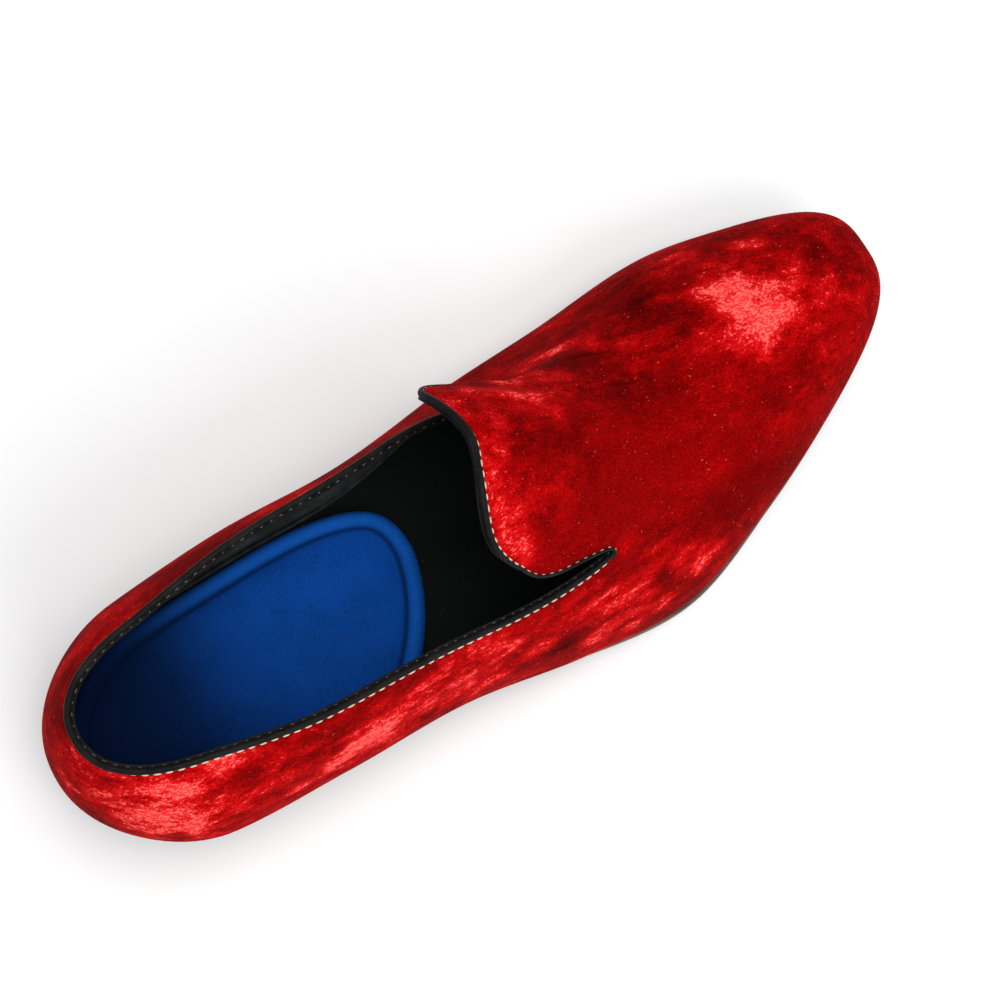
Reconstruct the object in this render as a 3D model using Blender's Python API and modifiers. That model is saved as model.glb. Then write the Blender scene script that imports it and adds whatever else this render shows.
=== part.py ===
"""Smoking slipper for the right foot: hollow velvet upper with a bound collar, sock,
padded heel cushion, thin outsole and low heel.

X runs from the heel to the toe, Y towards the inner (medial) side of the foot, Z up.
The shape is worked out in millimetres and laid down in metres.
"""
import math

import bmesh
import bpy
import numpy as np

MM = 0.001

# Overall sizes, in millimetres.
LENGTH = 300.0
HEEL_ROUND = 35.0
TOE_ROUND = 75.0
HEEL_POWER = 2.15
TOE_POWER = 3.0
WALL = 2.0
GAP = 0.35

# Collar and tongue.
SLIT_X = 161.0
NOTCH_RADIUS = 0.9
BINDING = 2.2
BINDING_GAP = 0.6
BINDING_PROUD = 0.5
TONGUE_BACK = 129.6
TONGUE_SCOOP = 2.5
TONGUE_SKEW = 4.5
TONGUE_POWER = 4.5
LIP_RIDGE = 4.5
LIP_LATERAL = 0.5
LIP_MEDIAL = 13.5
LIP_RISE = (0.42, 0.56)
LIP_POWER = 1.6
LIP_MEDIAL_POWER = 1.1
LIP_ALONG = 0.4
DROOP = 7.0
DROOP_FADE = (0.45, 0.74)
DROOP_POWER = 1.5
TUCK = 6.5
TUCK_X = 158.0
TUCK_REACH = 22.0
TUCK_RISE = (0.16, 0.44)
TUCK_FADE = (0.5, 0.64)
SIDE_STEPS = 6
BACK_STEPS = 9

# Bottom.
SOLE = 4.55
SOLE_EDGE_TOP = 0.4
SOLE_EDGE_FOOT = 0.9
HEEL_LENGTH = 62.0
HEEL_INSET = 1.2
HEEL_TAPER = 2.0
HEEL_BREAST_LEAN = 3.0
HEEL_CHAMFER = 0.6
HEEL_CHAMFER_HEIGHT = 0.06
INSOLE = 2.5
INSOLE_INSET = 0.35
INSOLE_CHAMFER = 0.8
PAD_INSET = 1.2
PAD_FRONT = 124.0
PAD_NOSE_Y = 5.0
PAD_LATERAL_TURN = 88.0
PAD_LATERAL_POWER = 1.5
PAD_MEDIAL_TURN = 80.0
PAD_MEDIAL_POWER = 2.4
PAD_RIM = 6.0
PAD_RIM_HEIGHT = 6.5
PAD_CENTRE_HEIGHT = 4.0

# The middle of the shoe's outline in plan, which becomes the origin.
MIDDLE_X = 149.87
MIDDLE_Y = -0.48

LATERAL = -1
MEDIAL = 1

# One row for each cross-section of the last.
# lateral, medial: half widths at the feather line; seat: height of the feather line;
# crown: height of the ridge; ridge: its sideways shift; rise, belly, round: how high the
# wall climbs, how far it swells and how full it turns over, on the lateral and medial side.
LAST_COLUMNS = (
    "x", "lateral", "medial", "seat", "crown", "ridge",
    "rise_l", "rise_m", "belly_l", "belly_m", "round_l", "round_m",
)
LAST_ROWS = (
    (0, 34.5, 21.0, 19.0, 85.0, 0.5, 0.36, 0.36, 0.19, 0.19, 0.77, 0.77),
    (30, 40.5, 25.5, 18.8, 81.0, 2.5, 0.35, 0.35, 0.33, 0.30, 0.60, 0.64),
    (70, 43.0, 29.0, 16.0, 89.0, -1.0, 0.35, 0.38, 0.28, 0.29, 0.57, 0.68),
    (110, 43.5, 32.0, 10.0, 92.0, 2.0, 0.35, 0.37, 0.22, 0.22, 0.53, 0.58),
    (150, 50.0, 41.5, 6.0, 82.0, 8.0, 0.45, 0.40, 0.06, 0.13, 0.48, 0.46),
    (190, 51.5, 47.5, 4.5, 57.5, 3.0, 0.51, 0.41, 0.02, 0.07, 0.48, 0.48),
    (230, 37.0, 51.0, 7.0, 49.0, 0.5, 0.52, 0.50, 0.07, 0.08, 0.53, 0.54),
    (265, 22.0, 48.0, 10.5, 41.0, -1.0, 0.52, 0.50, 0.06, 0.06, 0.53, 0.52),
    (300, 9.0, 46.0, 14.0, 34.0, -2.0, 0.52, 0.52, 0.06, 0.06, 0.53, 0.53),
)

# Height of the collar's edge, by the share of the way from the heel to the slit.
COLLAR_COLUMNS = ("share", "height")
COLLAR_ROWS = (
    (0.00, 71.0),
    (0.25, 70.0),
    (0.55, 68.0),
    (0.85, 59.0),
    (1.00, 55.5),
)

# How far the outsole's edge stands out from the feather line.
EDGE_COLUMNS = ("x", "out")
EDGE_ROWS = (
    (0, -1.5),
    (60, -1.8),
    (120, -2.2),
    (160, 0.2),
    (195, 1.2),
    (250, 1.0),
    (300, 0.9),
)


def named(columns, rows):
    return {name: np.array([row[i] for row in rows], float) for i, name in enumerate(columns)}


LAST = named(LAST_COLUMNS, LAST_ROWS)
COLLAR = named(COLLAR_COLUMNS, COLLAR_ROWS)
EDGE = named(EDGE_COLUMNS, EDGE_ROWS)


def smooth(xs, ys, x):
    """Smooth curve through the points of a short table."""
    x = np.asarray(x, float)
    h = np.diff(xs)
    d = np.diff(ys) / h
    m = np.concatenate([[d[0]], (d[:-1] * h[1:] + d[1:] * h[:-1]) / (h[:-1] + h[1:]), [d[-1]]])
    i = np.clip(np.searchsorted(xs, x) - 1, 0, len(xs) - 2)
    t = np.clip((x - xs[i]) / h[i], 0, 1)
    a = 2 * t**3 - 3 * t**2 + 1
    b = t**3 - 2 * t**2 + t
    c = 3 * t**2 - 2 * t**3
    e = t**3 - t**2
    return a * ys[i] + b * h[i] * m[i] + c * ys[i + 1] + e * h[i] * m[i + 1]


def last(name, x):
    return smooth(LAST["x"], LAST[name], x)


def outline(x, side):
    """Y of the feather line: the half widths, rounded off at the heel and the toe."""
    lateral = -last("lateral", x)
    medial = last("medial", x)
    centre = (lateral + medial) / 2
    half = (medial - lateral) / 2
    heel = np.clip((HEEL_ROUND - x) / HEEL_ROUND, 0, 1)
    toe = np.clip((x - LENGTH + TOE_ROUND) / TOE_ROUND, 0, 1)
    ends = (1 - heel**HEEL_POWER) ** (1 / HEEL_POWER) * (1 - toe**TOE_POWER) ** (1 / TOE_POWER)
    return centre + side * half * ends


def ridge_station(x):
    """The ridge is shorter than the outline, so the sections fan out at the toe and the heel."""
    toe_from, toe_to, toe_snap = 200.0, 260.0, 0.4
    share = np.clip((x - toe_from) / (LENGTH - toe_from), 0, 1)
    power = (LENGTH - toe_from) / (toe_to - toe_from)
    front = toe_from + (toe_to - toe_from) * (1 - (1 - share) ** power)
    front = np.where(toe_to - front < toe_snap, toe_to, front)
    y = np.where(x > toe_from, front, x)
    heel_from, heel_to = 60.0, 28.0
    share = np.clip((heel_from - x) / heel_from, 0, 1)
    power = heel_from / (heel_from - heel_to)
    back = heel_from - (heel_from - heel_to) * (1 - (1 - share) ** power)
    return np.where(x < heel_from, back, y)


def section(x, t, side):
    """Point on the last's surface: t runs from 0 at the feather line to 1 at the ridge."""
    x, t = np.broadcast_arrays(np.asarray(x, float), np.asarray(t, float))
    suffix = "_l" if side == LATERAL else "_m"
    rise = last("rise" + suffix, x)
    belly = last("belly" + suffix, x)
    full = last("round" + suffix, x)
    seat = last("seat", x)
    rx = ridge_station(x)
    ry = (last("medial", rx) - last("lateral", rx)) / 2 + last("ridge", rx)
    rz = last("crown", rx)
    slope = (last("crown", rx + 1) - last("crown", rx - 1)) / 2
    ex = x - rx
    ey = outline(x, side) - ry
    low = np.stack([x, outline(x, side), seat], -1)
    wall = low + np.stack([ex * belly, ey * belly, rise * (rz - seat)], -1)
    top = np.stack([rx, ry, rz], -1)
    turn = top + np.stack([ex * full, ey * full, slope * ex * full], -1)
    t = t[..., None]
    return (1 - t) ** 3 * low + 3 * t * (1 - t) ** 2 * wall + 3 * t**2 * (1 - t) * turn + t**3 * top


def slopes(x, t, side):
    step_x, step_t = 0.4, 0.004
    along = (section(x + step_x, t, side) - section(x - step_x, t, side)) / (2 * step_x)
    across = (section(x, t + step_t, side) - section(x, t - step_t, side)) / (2 * step_t)
    return along, across


def unit(v):
    return v / np.linalg.norm(v, axis=-1, keepdims=True)


def outward(x, t, side):
    """Unit normal of the last's surface, pointing out of the shoe."""
    along, across = slopes(np.clip(x, 2.0, LENGTH - 6.0), np.clip(t, 0.0, 1.0), side)
    return -side * unit(np.cross(along, across))


def collar_t(x, side):
    """t at which the section reaches the collar's height."""
    height = smooth(COLLAR["share"] * SLIT_X, COLLAR["height"], x)
    low = np.zeros_like(np.asarray(x, float))
    high = np.full_like(low, 0.95)
    for _ in range(40):
        t = (low + high) / 2
        above = section(x, t, side)[..., 2] > height
        high = np.where(above, t, high)
        low = np.where(above, low, t)
    return (low + high) / 2


def speed(x, t, side):
    return np.linalg.norm(slopes(x, t, side)[1], axis=-1)


def collar_edge(side):
    """The collar's edge from the heel to the ridge, and the way into the material per millimetre.

    Returns arrays x, t, dx, dt and the index of the tongue's corner and of the slit's end."""
    x = np.concatenate([heel_stations(), quarter_stations()])
    t = collar_t(x, side)
    dx = np.zeros_like(x)
    dt = -1 / speed(x, t, side)
    pace = float(speed(SLIT_X, t[-1], side))
    middle = t[-1] + NOTCH_RADIUS / pace
    angle = np.radians(np.arange(-60, 61, 30))
    notch_x = SLIT_X + NOTCH_RADIUS * np.cos(angle)
    notch_t = middle + NOTCH_RADIUS * np.sin(angle) / pace
    start_t = middle + NOTCH_RADIUS / pace
    corner = 0.5 ** (1 / TONGUE_POWER)
    side_turn = np.arcsin(np.linspace(0, corner, SIDE_STEPS + 1) ** (TONGUE_POWER / 2))
    back_turn = np.arccos(np.linspace(corner, 0, BACK_STEPS + 1) ** (TONGUE_POWER / 2))
    turn = np.concatenate([side_turn, back_turn[1:]])
    edge_x, edge_t = tongue_edge(turn, start_t, side)
    before_x, before_t = tongue_edge(np.maximum(turn - 0.002, 1e-6), start_t, side)
    after_x, after_t = tongue_edge(np.minimum(turn + 0.002, math.pi / 2 - 1e-6), start_t, side)
    heading = section(after_x, after_t, side) - section(before_x, before_t, side)
    along, across = slopes(edge_x, edge_t, side)
    normal = np.cross(along, across)
    inward = unit(np.cross(heading, normal))
    edge_dx, edge_dt = in_surface(inward, along, across)
    near_ridge = np.clip(1 - (1 - edge_t) / 0.2, 0, 1)
    edge_dx = edge_dx * (1 - near_ridge) + near_ridge
    edge_dt = edge_dt * (1 - near_ridge)
    edge_dx[0], edge_dt[0] = 0.0, 1 / pace
    return {
        "x": np.concatenate([x, notch_x, edge_x]),
        "t": np.concatenate([t, notch_t, edge_t]),
        "dx": np.concatenate([dx, np.cos(angle), edge_dx]),
        "dt": np.concatenate([dt, np.sin(angle) / pace, edge_dt]),
        "slit": len(x) + 2,
        "corner": len(x) + len(angle) + SIDE_STEPS,
    }


def tongue_edge(turn, start_t, side):
    """The tongue runs back along the collar, turns a round corner and crosses the instep."""
    power = 2 / TONGUE_POWER
    back = np.sin(turn) ** power
    rise = 1 - np.cos(turn) ** power
    across = np.clip((rise - 0.2) / 0.8, 0, 1)
    scoop = TONGUE_SCOOP * across**2 * (3 - 2 * across)
    scoop = scoop + side * TONGUE_SKEW * np.sin(math.pi * across)
    return SLIT_X - (SLIT_X - TONGUE_BACK) * back + scoop, start_t + (1 - start_t) * rise


def in_surface(direction, along, across):
    """Share of a direction along and across the surface, per millimetre."""
    aa = np.sum(along * along, -1)
    ab = np.sum(along * across, -1)
    bb = np.sum(across * across, -1)
    da = np.sum(direction * along, -1)
    db = np.sum(direction * across, -1)
    scale = aa * bb - ab * ab
    return (da * bb - db * ab) / scale, (db * aa - da * ab) / scale


def ease(share):
    """A soft step from 0 to 1."""
    share = np.clip(share, 0, 1)
    return share**2 * (3 - 2 * share)


def rising(value, ends):
    """0 up to the first end, 1 from the second on, and a soft step from one to the other."""
    return ease((value - ends[0]) / (ends[1] - ends[0]))


def surface(x, t, side):
    """The upper's outer face: the last, with the free lip of the tongue curling outwards.

    On the inner side the lip's edge droops and the quarter leans in beneath it.
    """
    x, t = np.broadcast_arrays(np.asarray(x, float), np.asarray(t, float))
    p = section(x, t, side)
    free = np.clip((SLIT_X - x) / (SLIT_X - TONGUE_BACK), 0, 1.3)
    above = ease((t - 0.6) / 0.4)
    on_tongue = t > collar_t(np.minimum(x, SLIT_X), side)
    curl = LIP_RIDGE * above * free**LIP_POWER
    if side == LATERAL:
        curl = curl + LIP_LATERAL * (1 - above) * free**LIP_POWER
        moved = np.zeros_like(p)
    else:
        curl = curl + LIP_MEDIAL * rising(t, LIP_RISE) * (1 - above) * free**LIP_MEDIAL_POWER
        tuck = TUCK * np.exp(-(((x - TUCK_X) / TUCK_REACH) ** 2)) * rising(t, TUCK_RISE)
        droop = np.where(on_tongue, DROOP * (1 - rising(t, DROOP_FADE)) * free**DROOP_POWER, 0)
        moved = np.stack([0 * x, -tuck * (1 - rising(t, TUCK_FADE)), -droop], -1)
    curl = np.where(on_tongue, curl, 0)
    return p + moved + curl[..., None] * outward(x, t, side) * np.array([LIP_ALONG, 1.0, 1.0])


def heel_stations():
    turn = np.arange(7) * math.pi / 14
    return HEEL_ROUND * (1 - np.cos(turn))


def quarter_stations():
    return np.linspace(HEEL_ROUND, SLIT_X, 15)


def front_stations():
    """Stations of the vamp, past the end of the slit."""
    start = SLIT_X + NOTCH_RADIUS + BINDING + BINDING_GAP
    middle = np.linspace(start, LENGTH - TOE_ROUND, 7)
    turn = np.arange(1, 11) * math.pi / 20
    return np.concatenate([middle, LENGTH - TOE_ROUND + TOE_ROUND * np.sin(turn)])


def outline_stations():
    return np.concatenate([heel_stations(), quarter_stations(), front_stations()])


def new_object(name, bm, colour, roughness):
    bmesh.ops.remove_doubles(bm, verts=bm.verts, dist=0.00001)
    for vert in bm.verts:
        vert.co.x -= MIDDLE_X * MM
        vert.co.y -= MIDDLE_Y * MM
    mesh = bpy.data.meshes.new(name)
    bm.to_mesh(mesh)
    bm.free()
    mesh.shade_smooth()
    mesh.set_sharp_from_angle(angle=math.radians(40))
    obj = bpy.data.objects.new(name, mesh)
    collection.objects.link(obj)
    obj.parent = root
    material = bpy.data.materials.new(name)
    material.use_nodes = True
    shader = material.node_tree.nodes["Principled BSDF"]
    shader.inputs["Base Color"].default_value = (*colour, 1.0)
    shader.inputs["Roughness"].default_value = roughness
    shader.inputs["Metallic"].default_value = 0.0
    mesh.materials.append(material)
    return obj


def add_grid(bm, points, flip):
    """Quads over a grid of points, shape (columns, rows, 3), in millimetres."""
    verts = [[bm.verts.new(p * MM) for p in column] for column in points]
    for left, right in zip(verts, verts[1:]):
        for j in range(len(left) - 1):
            face = [left[j], right[j], right[j + 1], left[j + 1]]
            bm.faces.new(face[::-1] if flip else face)


def blend_patch(bottom, top, left, right):
    """Points of a four-sided patch between its edge curves, given as (x, t) pairs."""
    u = np.linspace(0, 1, len(bottom))[:, None, None]
    v = ((left[:, 1] - left[0, 1]) / (left[-1, 1] - left[0, 1]))[None, :, None]
    sides = (1 - u) * left[None] + u * right[None]
    ends = (1 - v) * bottom[:, None] + v * top[:, None]
    corners = (1 - u) * ((1 - v) * bottom[0] + v * top[0]) + u * ((1 - v) * bottom[-1] + v * top[-1])
    return sides + ends - corners


def make_upper():
    """Lofted from the last's sections, open at the collar and underneath, with a solid wall."""
    bm = bmesh.new()
    inset = BINDING + BINDING_GAP
    quarter_rows = 6
    for side in (LATERAL, MEDIAL):
        edge = collar_edge(side)
        slit, corner = edge["slit"], edge["corner"]
        x = edge["x"] + edge["dx"] * inset
        t = edge["t"] + edge["dt"] * inset
        # Quarter: columns from the feather line up to the binding.
        share = np.linspace(0, 1, quarter_rows + 1)[None, :]
        columns = surface(x[:slit + 1, None], t[:slit + 1, None] * share, side)
        add_grid(bm, columns, side == MEDIAL)
        # Tongue: a patch between its two free edges, the ridge and the first vamp column.
        bottom = np.stack([x[slit:corner + 1], t[slit:corner + 1]], -1)[::-1]
        left = np.stack([x[corner:], t[corner:]], -1)
        share = (left[:, 1] - left[0, 1]) / (left[-1, 1] - left[0, 1])
        right = np.stack([np.full(len(share), x[slit]), t[slit] + (1 - t[slit]) * share], -1)
        ridge = np.linspace(left[-1, 0], x[slit], len(bottom))
        top = np.stack([ridge, np.ones(len(ridge))], -1)
        patch = blend_patch(bottom, top, left, right)
        add_grid(bm, surface(patch[..., 0], patch[..., 1], side), side == MEDIAL)
        # Vamp: whole columns from the feather line to the ridge, evenly spaced by the toe's tip.
        front = front_stations()[:, None]
        rows = np.concatenate([t[slit] * np.linspace(0, 1, quarter_rows + 1), right[1:, 1]])
        share = (front - x[slit]) / (LENGTH - x[slit])
        rows = rows * (1 - share) + np.linspace(0, 1, len(rows)) * share
        add_grid(bm, surface(front, rows, side), side == MEDIAL)
    obj = new_object("upper", bm, (0.42, 0.004, 0.006), 0.75)
    wall = obj.modifiers.new("wall", "SOLIDIFY")
    wall.thickness = WALL * MM
    wall.offset = -1.0
    wall.use_even_offset = False
    return obj


def make_binding():
    """A folded strip round the collar and the tongue, cut from the upper's own surface."""
    # One row for each point of the strip's section: distance from the edge, depth in the wall.
    outer = BINDING_PROUD
    inner = -WALL - BINDING_PROUD
    profile = (
        (BINDING, outer * 0.6),
        (BINDING * 0.6, outer),
        (BINDING * 0.2, outer * 0.8),
        (0.0, -0.4),
        (0.0, -WALL + 0.4),
        (BINDING * 0.2, inner * 0.92),
        (BINDING * 0.6, inner),
        (BINDING, inner * 0.9),
    )
    halves = []
    edges = {side: collar_edge(side) for side in (LATERAL, MEDIAL)}
    normals = {side: lip_normal(edges[side], side) for side in (LATERAL, MEDIAL)}
    for end in (0, -1):
        shared = unit(normals[LATERAL][end] + normals[MEDIAL][end])
        normals[LATERAL][end] = normals[MEDIAL][end] = shared
    for side in (LATERAL, MEDIAL):
        edge = edges[side]
        normal = normals[side]
        rings = []
        for away, depth in profile:
            at = surface(edge["x"] + edge["dx"] * away, edge["t"] + edge["dt"] * away, side)
            rings.append(at + normal * depth)
        halves.append(np.stack(rings, 1))
    lateral, medial = halves
    # The medial half runs back from the ridge to the heel, so its two shared rings are left out.
    loop = np.concatenate([lateral, medial[-2:0:-1]])
    bm = bmesh.new()
    verts = [[bm.verts.new(p * MM) for p in ring] for ring in loop]
    for ring, following in zip(verts, verts[1:] + verts[:1]):
        for j in range(len(profile)):
            k = (j + 1) % len(profile)
            bm.faces.new([ring[j], following[j], following[k], ring[k]])
    return new_object("binding", bm, (0.012, 0.012, 0.013), 0.5)


def lip_normal(edge, side):
    """Normal of the upper's outer face just inside the edge, curl included."""
    x = edge["x"] + edge["dx"] * (BINDING + 1.0)
    t = np.clip(edge["t"] + edge["dt"] * (BINDING + 1.0), 0, 0.985)
    x = np.maximum(x, 1.5)
    step_x, step_t = 0.8, 0.01
    along = surface(x + step_x, t, side) - surface(x - step_x, t, side)
    across = surface(x, t + step_t, side) - surface(x, t - step_t, side)
    return -side * unit(np.cross(along, across))


def plan_loop(x, out):
    """Closed loop of the feather line in plan, moved outwards, at the given stations."""
    lateral = np.stack([x, outline(x, LATERAL)], -1)
    medial = np.stack([x, outline(x, MEDIAL)], -1)
    loop = np.concatenate([lateral, medial[-2:0:-1]])
    return moved_out(loop, np.concatenate([out, out[-2:0:-1]]))


def moved_out(loop, out):
    tangent = unit(np.roll(loop, -1, 0) - np.roll(loop, 1, 0))
    away = np.stack([tangent[:, 1], -tangent[:, 0]], -1)
    return loop + away * out[:, None]


def add_slab(bm, rings):
    """A solid from stacked loops; each loop runs from the heel to the toe and back."""
    count = len(rings[0])
    verts = [[bm.verts.new(p * MM) for p in ring] for ring in rings]
    for low, high in zip(verts, verts[1:]):
        for i in range(count):
            k = (i + 1) % count
            bm.faces.new([low[i], low[k], high[k], high[i]])
    half = count // 2
    for ring, up in ((verts[0], False), (verts[-1], True)):
        for i in range(half):
            j = (count - i) % count
            face = [ring[i], ring[i + 1], ring[count - i - 1], ring[j]]
            face = [v for k, v in enumerate(face) if v not in face[:k]]
            bm.faces.new(face if up else face[::-1])


def at_height(loop, height):
    return np.column_stack([loop, height])


def sole_top(x):
    return last("seat", np.clip(x, 0, LENGTH)) - GAP


def sole_bottom(x):
    """Underside of the outsole, flat on the floor under the ball of the foot."""
    return np.maximum(sole_top(x) - SOLE, 0.0)


def make_outsole():
    x = outline_stations()
    out = smooth(EDGE["x"], EDGE["out"], x)
    top = plan_loop(x, out - SOLE_EDGE_TOP)
    edge = plan_loop(x, out)
    foot = plan_loop(x, out - SOLE_EDGE_FOOT)
    middle = sole_top(edge[:, 0]) * 0.65 + sole_bottom(edge[:, 0]) * 0.35
    bm = bmesh.new()
    add_slab(bm, [
        at_height(foot, sole_bottom(foot[:, 0])),
        at_height(edge, middle),
        at_height(top, sole_top(top[:, 0])),
    ])
    return new_object("outsole", bm, (0.02, 0.017, 0.015), 0.55)


def make_heel():
    """Low heel, flat on the floor, with a straight breast that leans forward from the floor up."""
    x = outline_stations()
    x = np.concatenate([x[x < HEEL_LENGTH - 2], HEEL_LENGTH + np.array([0.0, 5.0, 10.0])])
    corner = len(x) - 3
    out = smooth(EDGE["x"], EDGE["out"], x) - HEEL_INSET
    rings = []
    for share, chamfer in ((0.0, HEEL_CHAMFER), (HEEL_CHAMFER_HEIGHT, 0.0), (1.0, 0.0)):
        whole = plan_loop(x, out - HEEL_TAPER * (1 - share) - chamfer)
        loop = np.delete(whole, [corner + 1, corner + 2, corner + 3], 0)
        loop[corner:corner + 2, 0] = HEEL_LENGTH - HEEL_BREAST_LEAN * (1 - share)
        rings.append(at_height(loop, (sole_bottom(loop[:, 0]) - GAP) * share))
    bm = bmesh.new()
    add_slab(bm, rings)
    return new_object("heel", bm, (0.015, 0.014, 0.013), 0.6)


def make_insole():
    inset = WALL + GAP + INSOLE_INSET
    loop = inner_loop(-inset)
    seat = last("seat", loop[:, 0])
    rings = [
        at_height(loop, seat),
        at_height(loop, seat + INSOLE * 0.7),
        at_height(inner_loop(-inset - INSOLE_CHAMFER), seat + INSOLE),
    ]
    bm = bmesh.new()
    add_slab(bm, rings)
    return new_object("insole", bm, (0.01, 0.01, 0.011), 0.85)


def inner_loop(out):
    """Loop inside the feather line, with its stations spread anew between its two ends."""
    x = outline_stations()
    count = len(x)
    whole = plan_loop(x, np.full(count, out))
    lateral = whole[:count]
    medial = np.concatenate([whole[:1], whole[:count - 2:-1]])
    low = lateral[0, 0]
    high = lateral[-1, 0]
    spread = low + (high - low) * x / LENGTH
    left = np.interp(spread, lateral[:, 0], lateral[:, 1])
    right = np.interp(spread, medial[:, 0], medial[:, 1])
    return np.concatenate([np.stack([spread, left], -1), np.stack([spread, right], -1)[-2:0:-1]])


def pad_loop(inward):
    """Outline of the heel cushion: it fills the seat and ends in a skewed round front edge."""
    turn = np.arange(1, 13) / 12 * math.pi / 2
    back = outline_stations()
    back = back[back < PAD_MEDIAL_TURN - 4]
    start = PAD_MEDIAL_TURN
    x = np.concatenate([back, [start], start + (PAD_FRONT - start) * np.sin(turn)])
    halves = []
    for side, begin, power in (
        (LATERAL, PAD_LATERAL_TURN, PAD_LATERAL_POWER),
        (MEDIAL, PAD_MEDIAL_TURN, PAD_MEDIAL_POWER),
    ):
        share = np.clip((x - begin) / (PAD_FRONT - begin), 0, 1)
        width = (1 - share**power) ** (1 / power)
        wide = outline(x, side) - PAD_NOSE_Y
        halves.append(np.stack([x, PAD_NOSE_Y + wide * width], -1))
    left, right = halves
    left[0] = right[0] = (0.0, outline(0.0, LATERAL))
    loop = np.concatenate([left, right[-2:0:-1]])
    return moved_out(loop, np.full(len(loop), -inward))


def make_heel_pad():
    """Heel cushion with a raised round rim and a sunken middle."""
    edge = WALL + GAP + PAD_INSET
    rings = []
    # One row for each ring of the cushion: distance in from its edge, height above the sock.
    for inward, height in (
        (1.2, 0.0),
        (0.0, 1.6),
        (0.4, 4.2),
        (2.4, PAD_RIM_HEIGHT),
        (PAD_RIM - 1.8, PAD_RIM_HEIGHT),
        (PAD_RIM, PAD_CENTRE_HEIGHT + 0.5),
        (PAD_RIM + 3.0, PAD_CENTRE_HEIGHT),
    ):
        loop = pad_loop(edge + inward)
        base = last("seat", loop[:, 0]) + INSOLE + GAP
        rings.append(at_height(loop, base + height))
    bm = bmesh.new()
    add_slab(bm, rings)
    return new_object("heel_pad", bm, (0.01, 0.045, 0.30), 0.9)


for old in list(bpy.data.objects):
    bpy.data.objects.remove(old, do_unlink=True)

collection = bpy.data.collections.new("smoking_slipper")
bpy.context.scene.collection.children.link(collection)
root = bpy.data.objects.new("slipper_origin", None)
root.empty_display_size = 0.02
collection.objects.link(root)

make_upper()
make_binding()
make_outsole()
make_heel()
make_insole()
make_heel_pad()
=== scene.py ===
"""Looks of the red crushed-velvet smoking slipper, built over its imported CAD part.

The shoe's own surface is worked out in millimetres, X from the heel to the toe, Y towards the
inner (medial) side of the foot and Z up, and is then moved to the part's frame in metres.
"""

import math

import bpy
import numpy as np
from mathutils import Matrix, Vector


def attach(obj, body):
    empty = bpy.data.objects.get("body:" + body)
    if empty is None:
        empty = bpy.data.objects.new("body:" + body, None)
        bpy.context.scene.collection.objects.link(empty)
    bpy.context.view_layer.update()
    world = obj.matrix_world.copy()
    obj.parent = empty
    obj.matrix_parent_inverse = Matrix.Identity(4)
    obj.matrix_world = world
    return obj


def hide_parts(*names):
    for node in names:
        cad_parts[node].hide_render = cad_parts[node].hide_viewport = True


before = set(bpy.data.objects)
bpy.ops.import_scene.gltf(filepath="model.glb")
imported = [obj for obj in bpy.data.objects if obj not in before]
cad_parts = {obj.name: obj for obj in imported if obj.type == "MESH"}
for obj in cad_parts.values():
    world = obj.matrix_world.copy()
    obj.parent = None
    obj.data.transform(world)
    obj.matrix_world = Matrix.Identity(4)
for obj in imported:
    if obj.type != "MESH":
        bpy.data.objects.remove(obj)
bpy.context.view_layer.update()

MM = 0.001

# Sizes of the shoe, in millimetres.
LENGTH = 300.0
HEEL_ROUND = 35.0
TOE_ROUND = 75.0
TOE_X = LENGTH - TOE_ROUND
HEEL_POWER = 2.15
TOE_POWER = 3.0
WALL = 2.0
SIT = 0.35
SLIT_X = 161.0
NOTCH_RADIUS = 0.9
NOTCH_ANGLE = 70
BINDING = 2.2
TONGUE_BACK = 129.6
TONGUE_SCOOP = 2.5
TONGUE_SKEW = 4.5
TONGUE_POWER = 4.5
CROSSING_FROM = 0.2
NEAR_RIDGE = 0.2
RIDGE_RISE = (0.6, 1.0)
FREE_LIMIT = 1.3
LIP_RIDGE = 4.5
LIP_LATERAL = 0.5
LIP_MEDIAL = 13.5
LIP_RISE = (0.42, 0.56)
LIP_POWER = 1.6
LIP_MEDIAL_POWER = 1.1
LIP_ALONG = 0.4
DROOP = 7.0
DROOP_FADE = (0.45, 0.74)
DROOP_POWER = 1.5
TUCK = 6.5
TUCK_X = 158.0
TUCK_REACH = 22.0
TUCK_RISE = (0.16, 0.44)
TUCK_FADE = (0.5, 0.64)
SOLE = 4.55
HEEL_LENGTH = 62.0
HEEL_INSET = 1.2
HEEL_TAPER = 2.0
HEEL_BREAST_LEAN = 3.0
INSOLE = 2.5
PAD_INSET = 1.2
PAD_FRONT = 124.0
PAD_NOSE_Y = 5.0
PAD_LATERAL_TURN = 88.0
PAD_LATERAL_POWER = 1.5
PAD_MEDIAL_TURN = 80.0
PAD_MEDIAL_POWER = 2.4

# The binding shows as a part of its full width: at the slit's end, on the tongue's back edge and
# round the collar, with the distance and the turn in which it passes from one to the other.
NARROW_SLIT = 0.5
NARROW_TONGUE = 0.7
NARROW_COLLAR = 0.65
NARROW_REACH = 18.0
NARROW_TURN = 0.5

# The middle of the shoe's outline in plan, which is the part's origin.
MIDDLE = np.array([149.87, -0.48, 0.0])

LATERAL = -1
MEDIAL = 1


def named(names, rows):
    return {name: np.array([row[i] for row in rows], float) for i, name in enumerate(names)}


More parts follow.
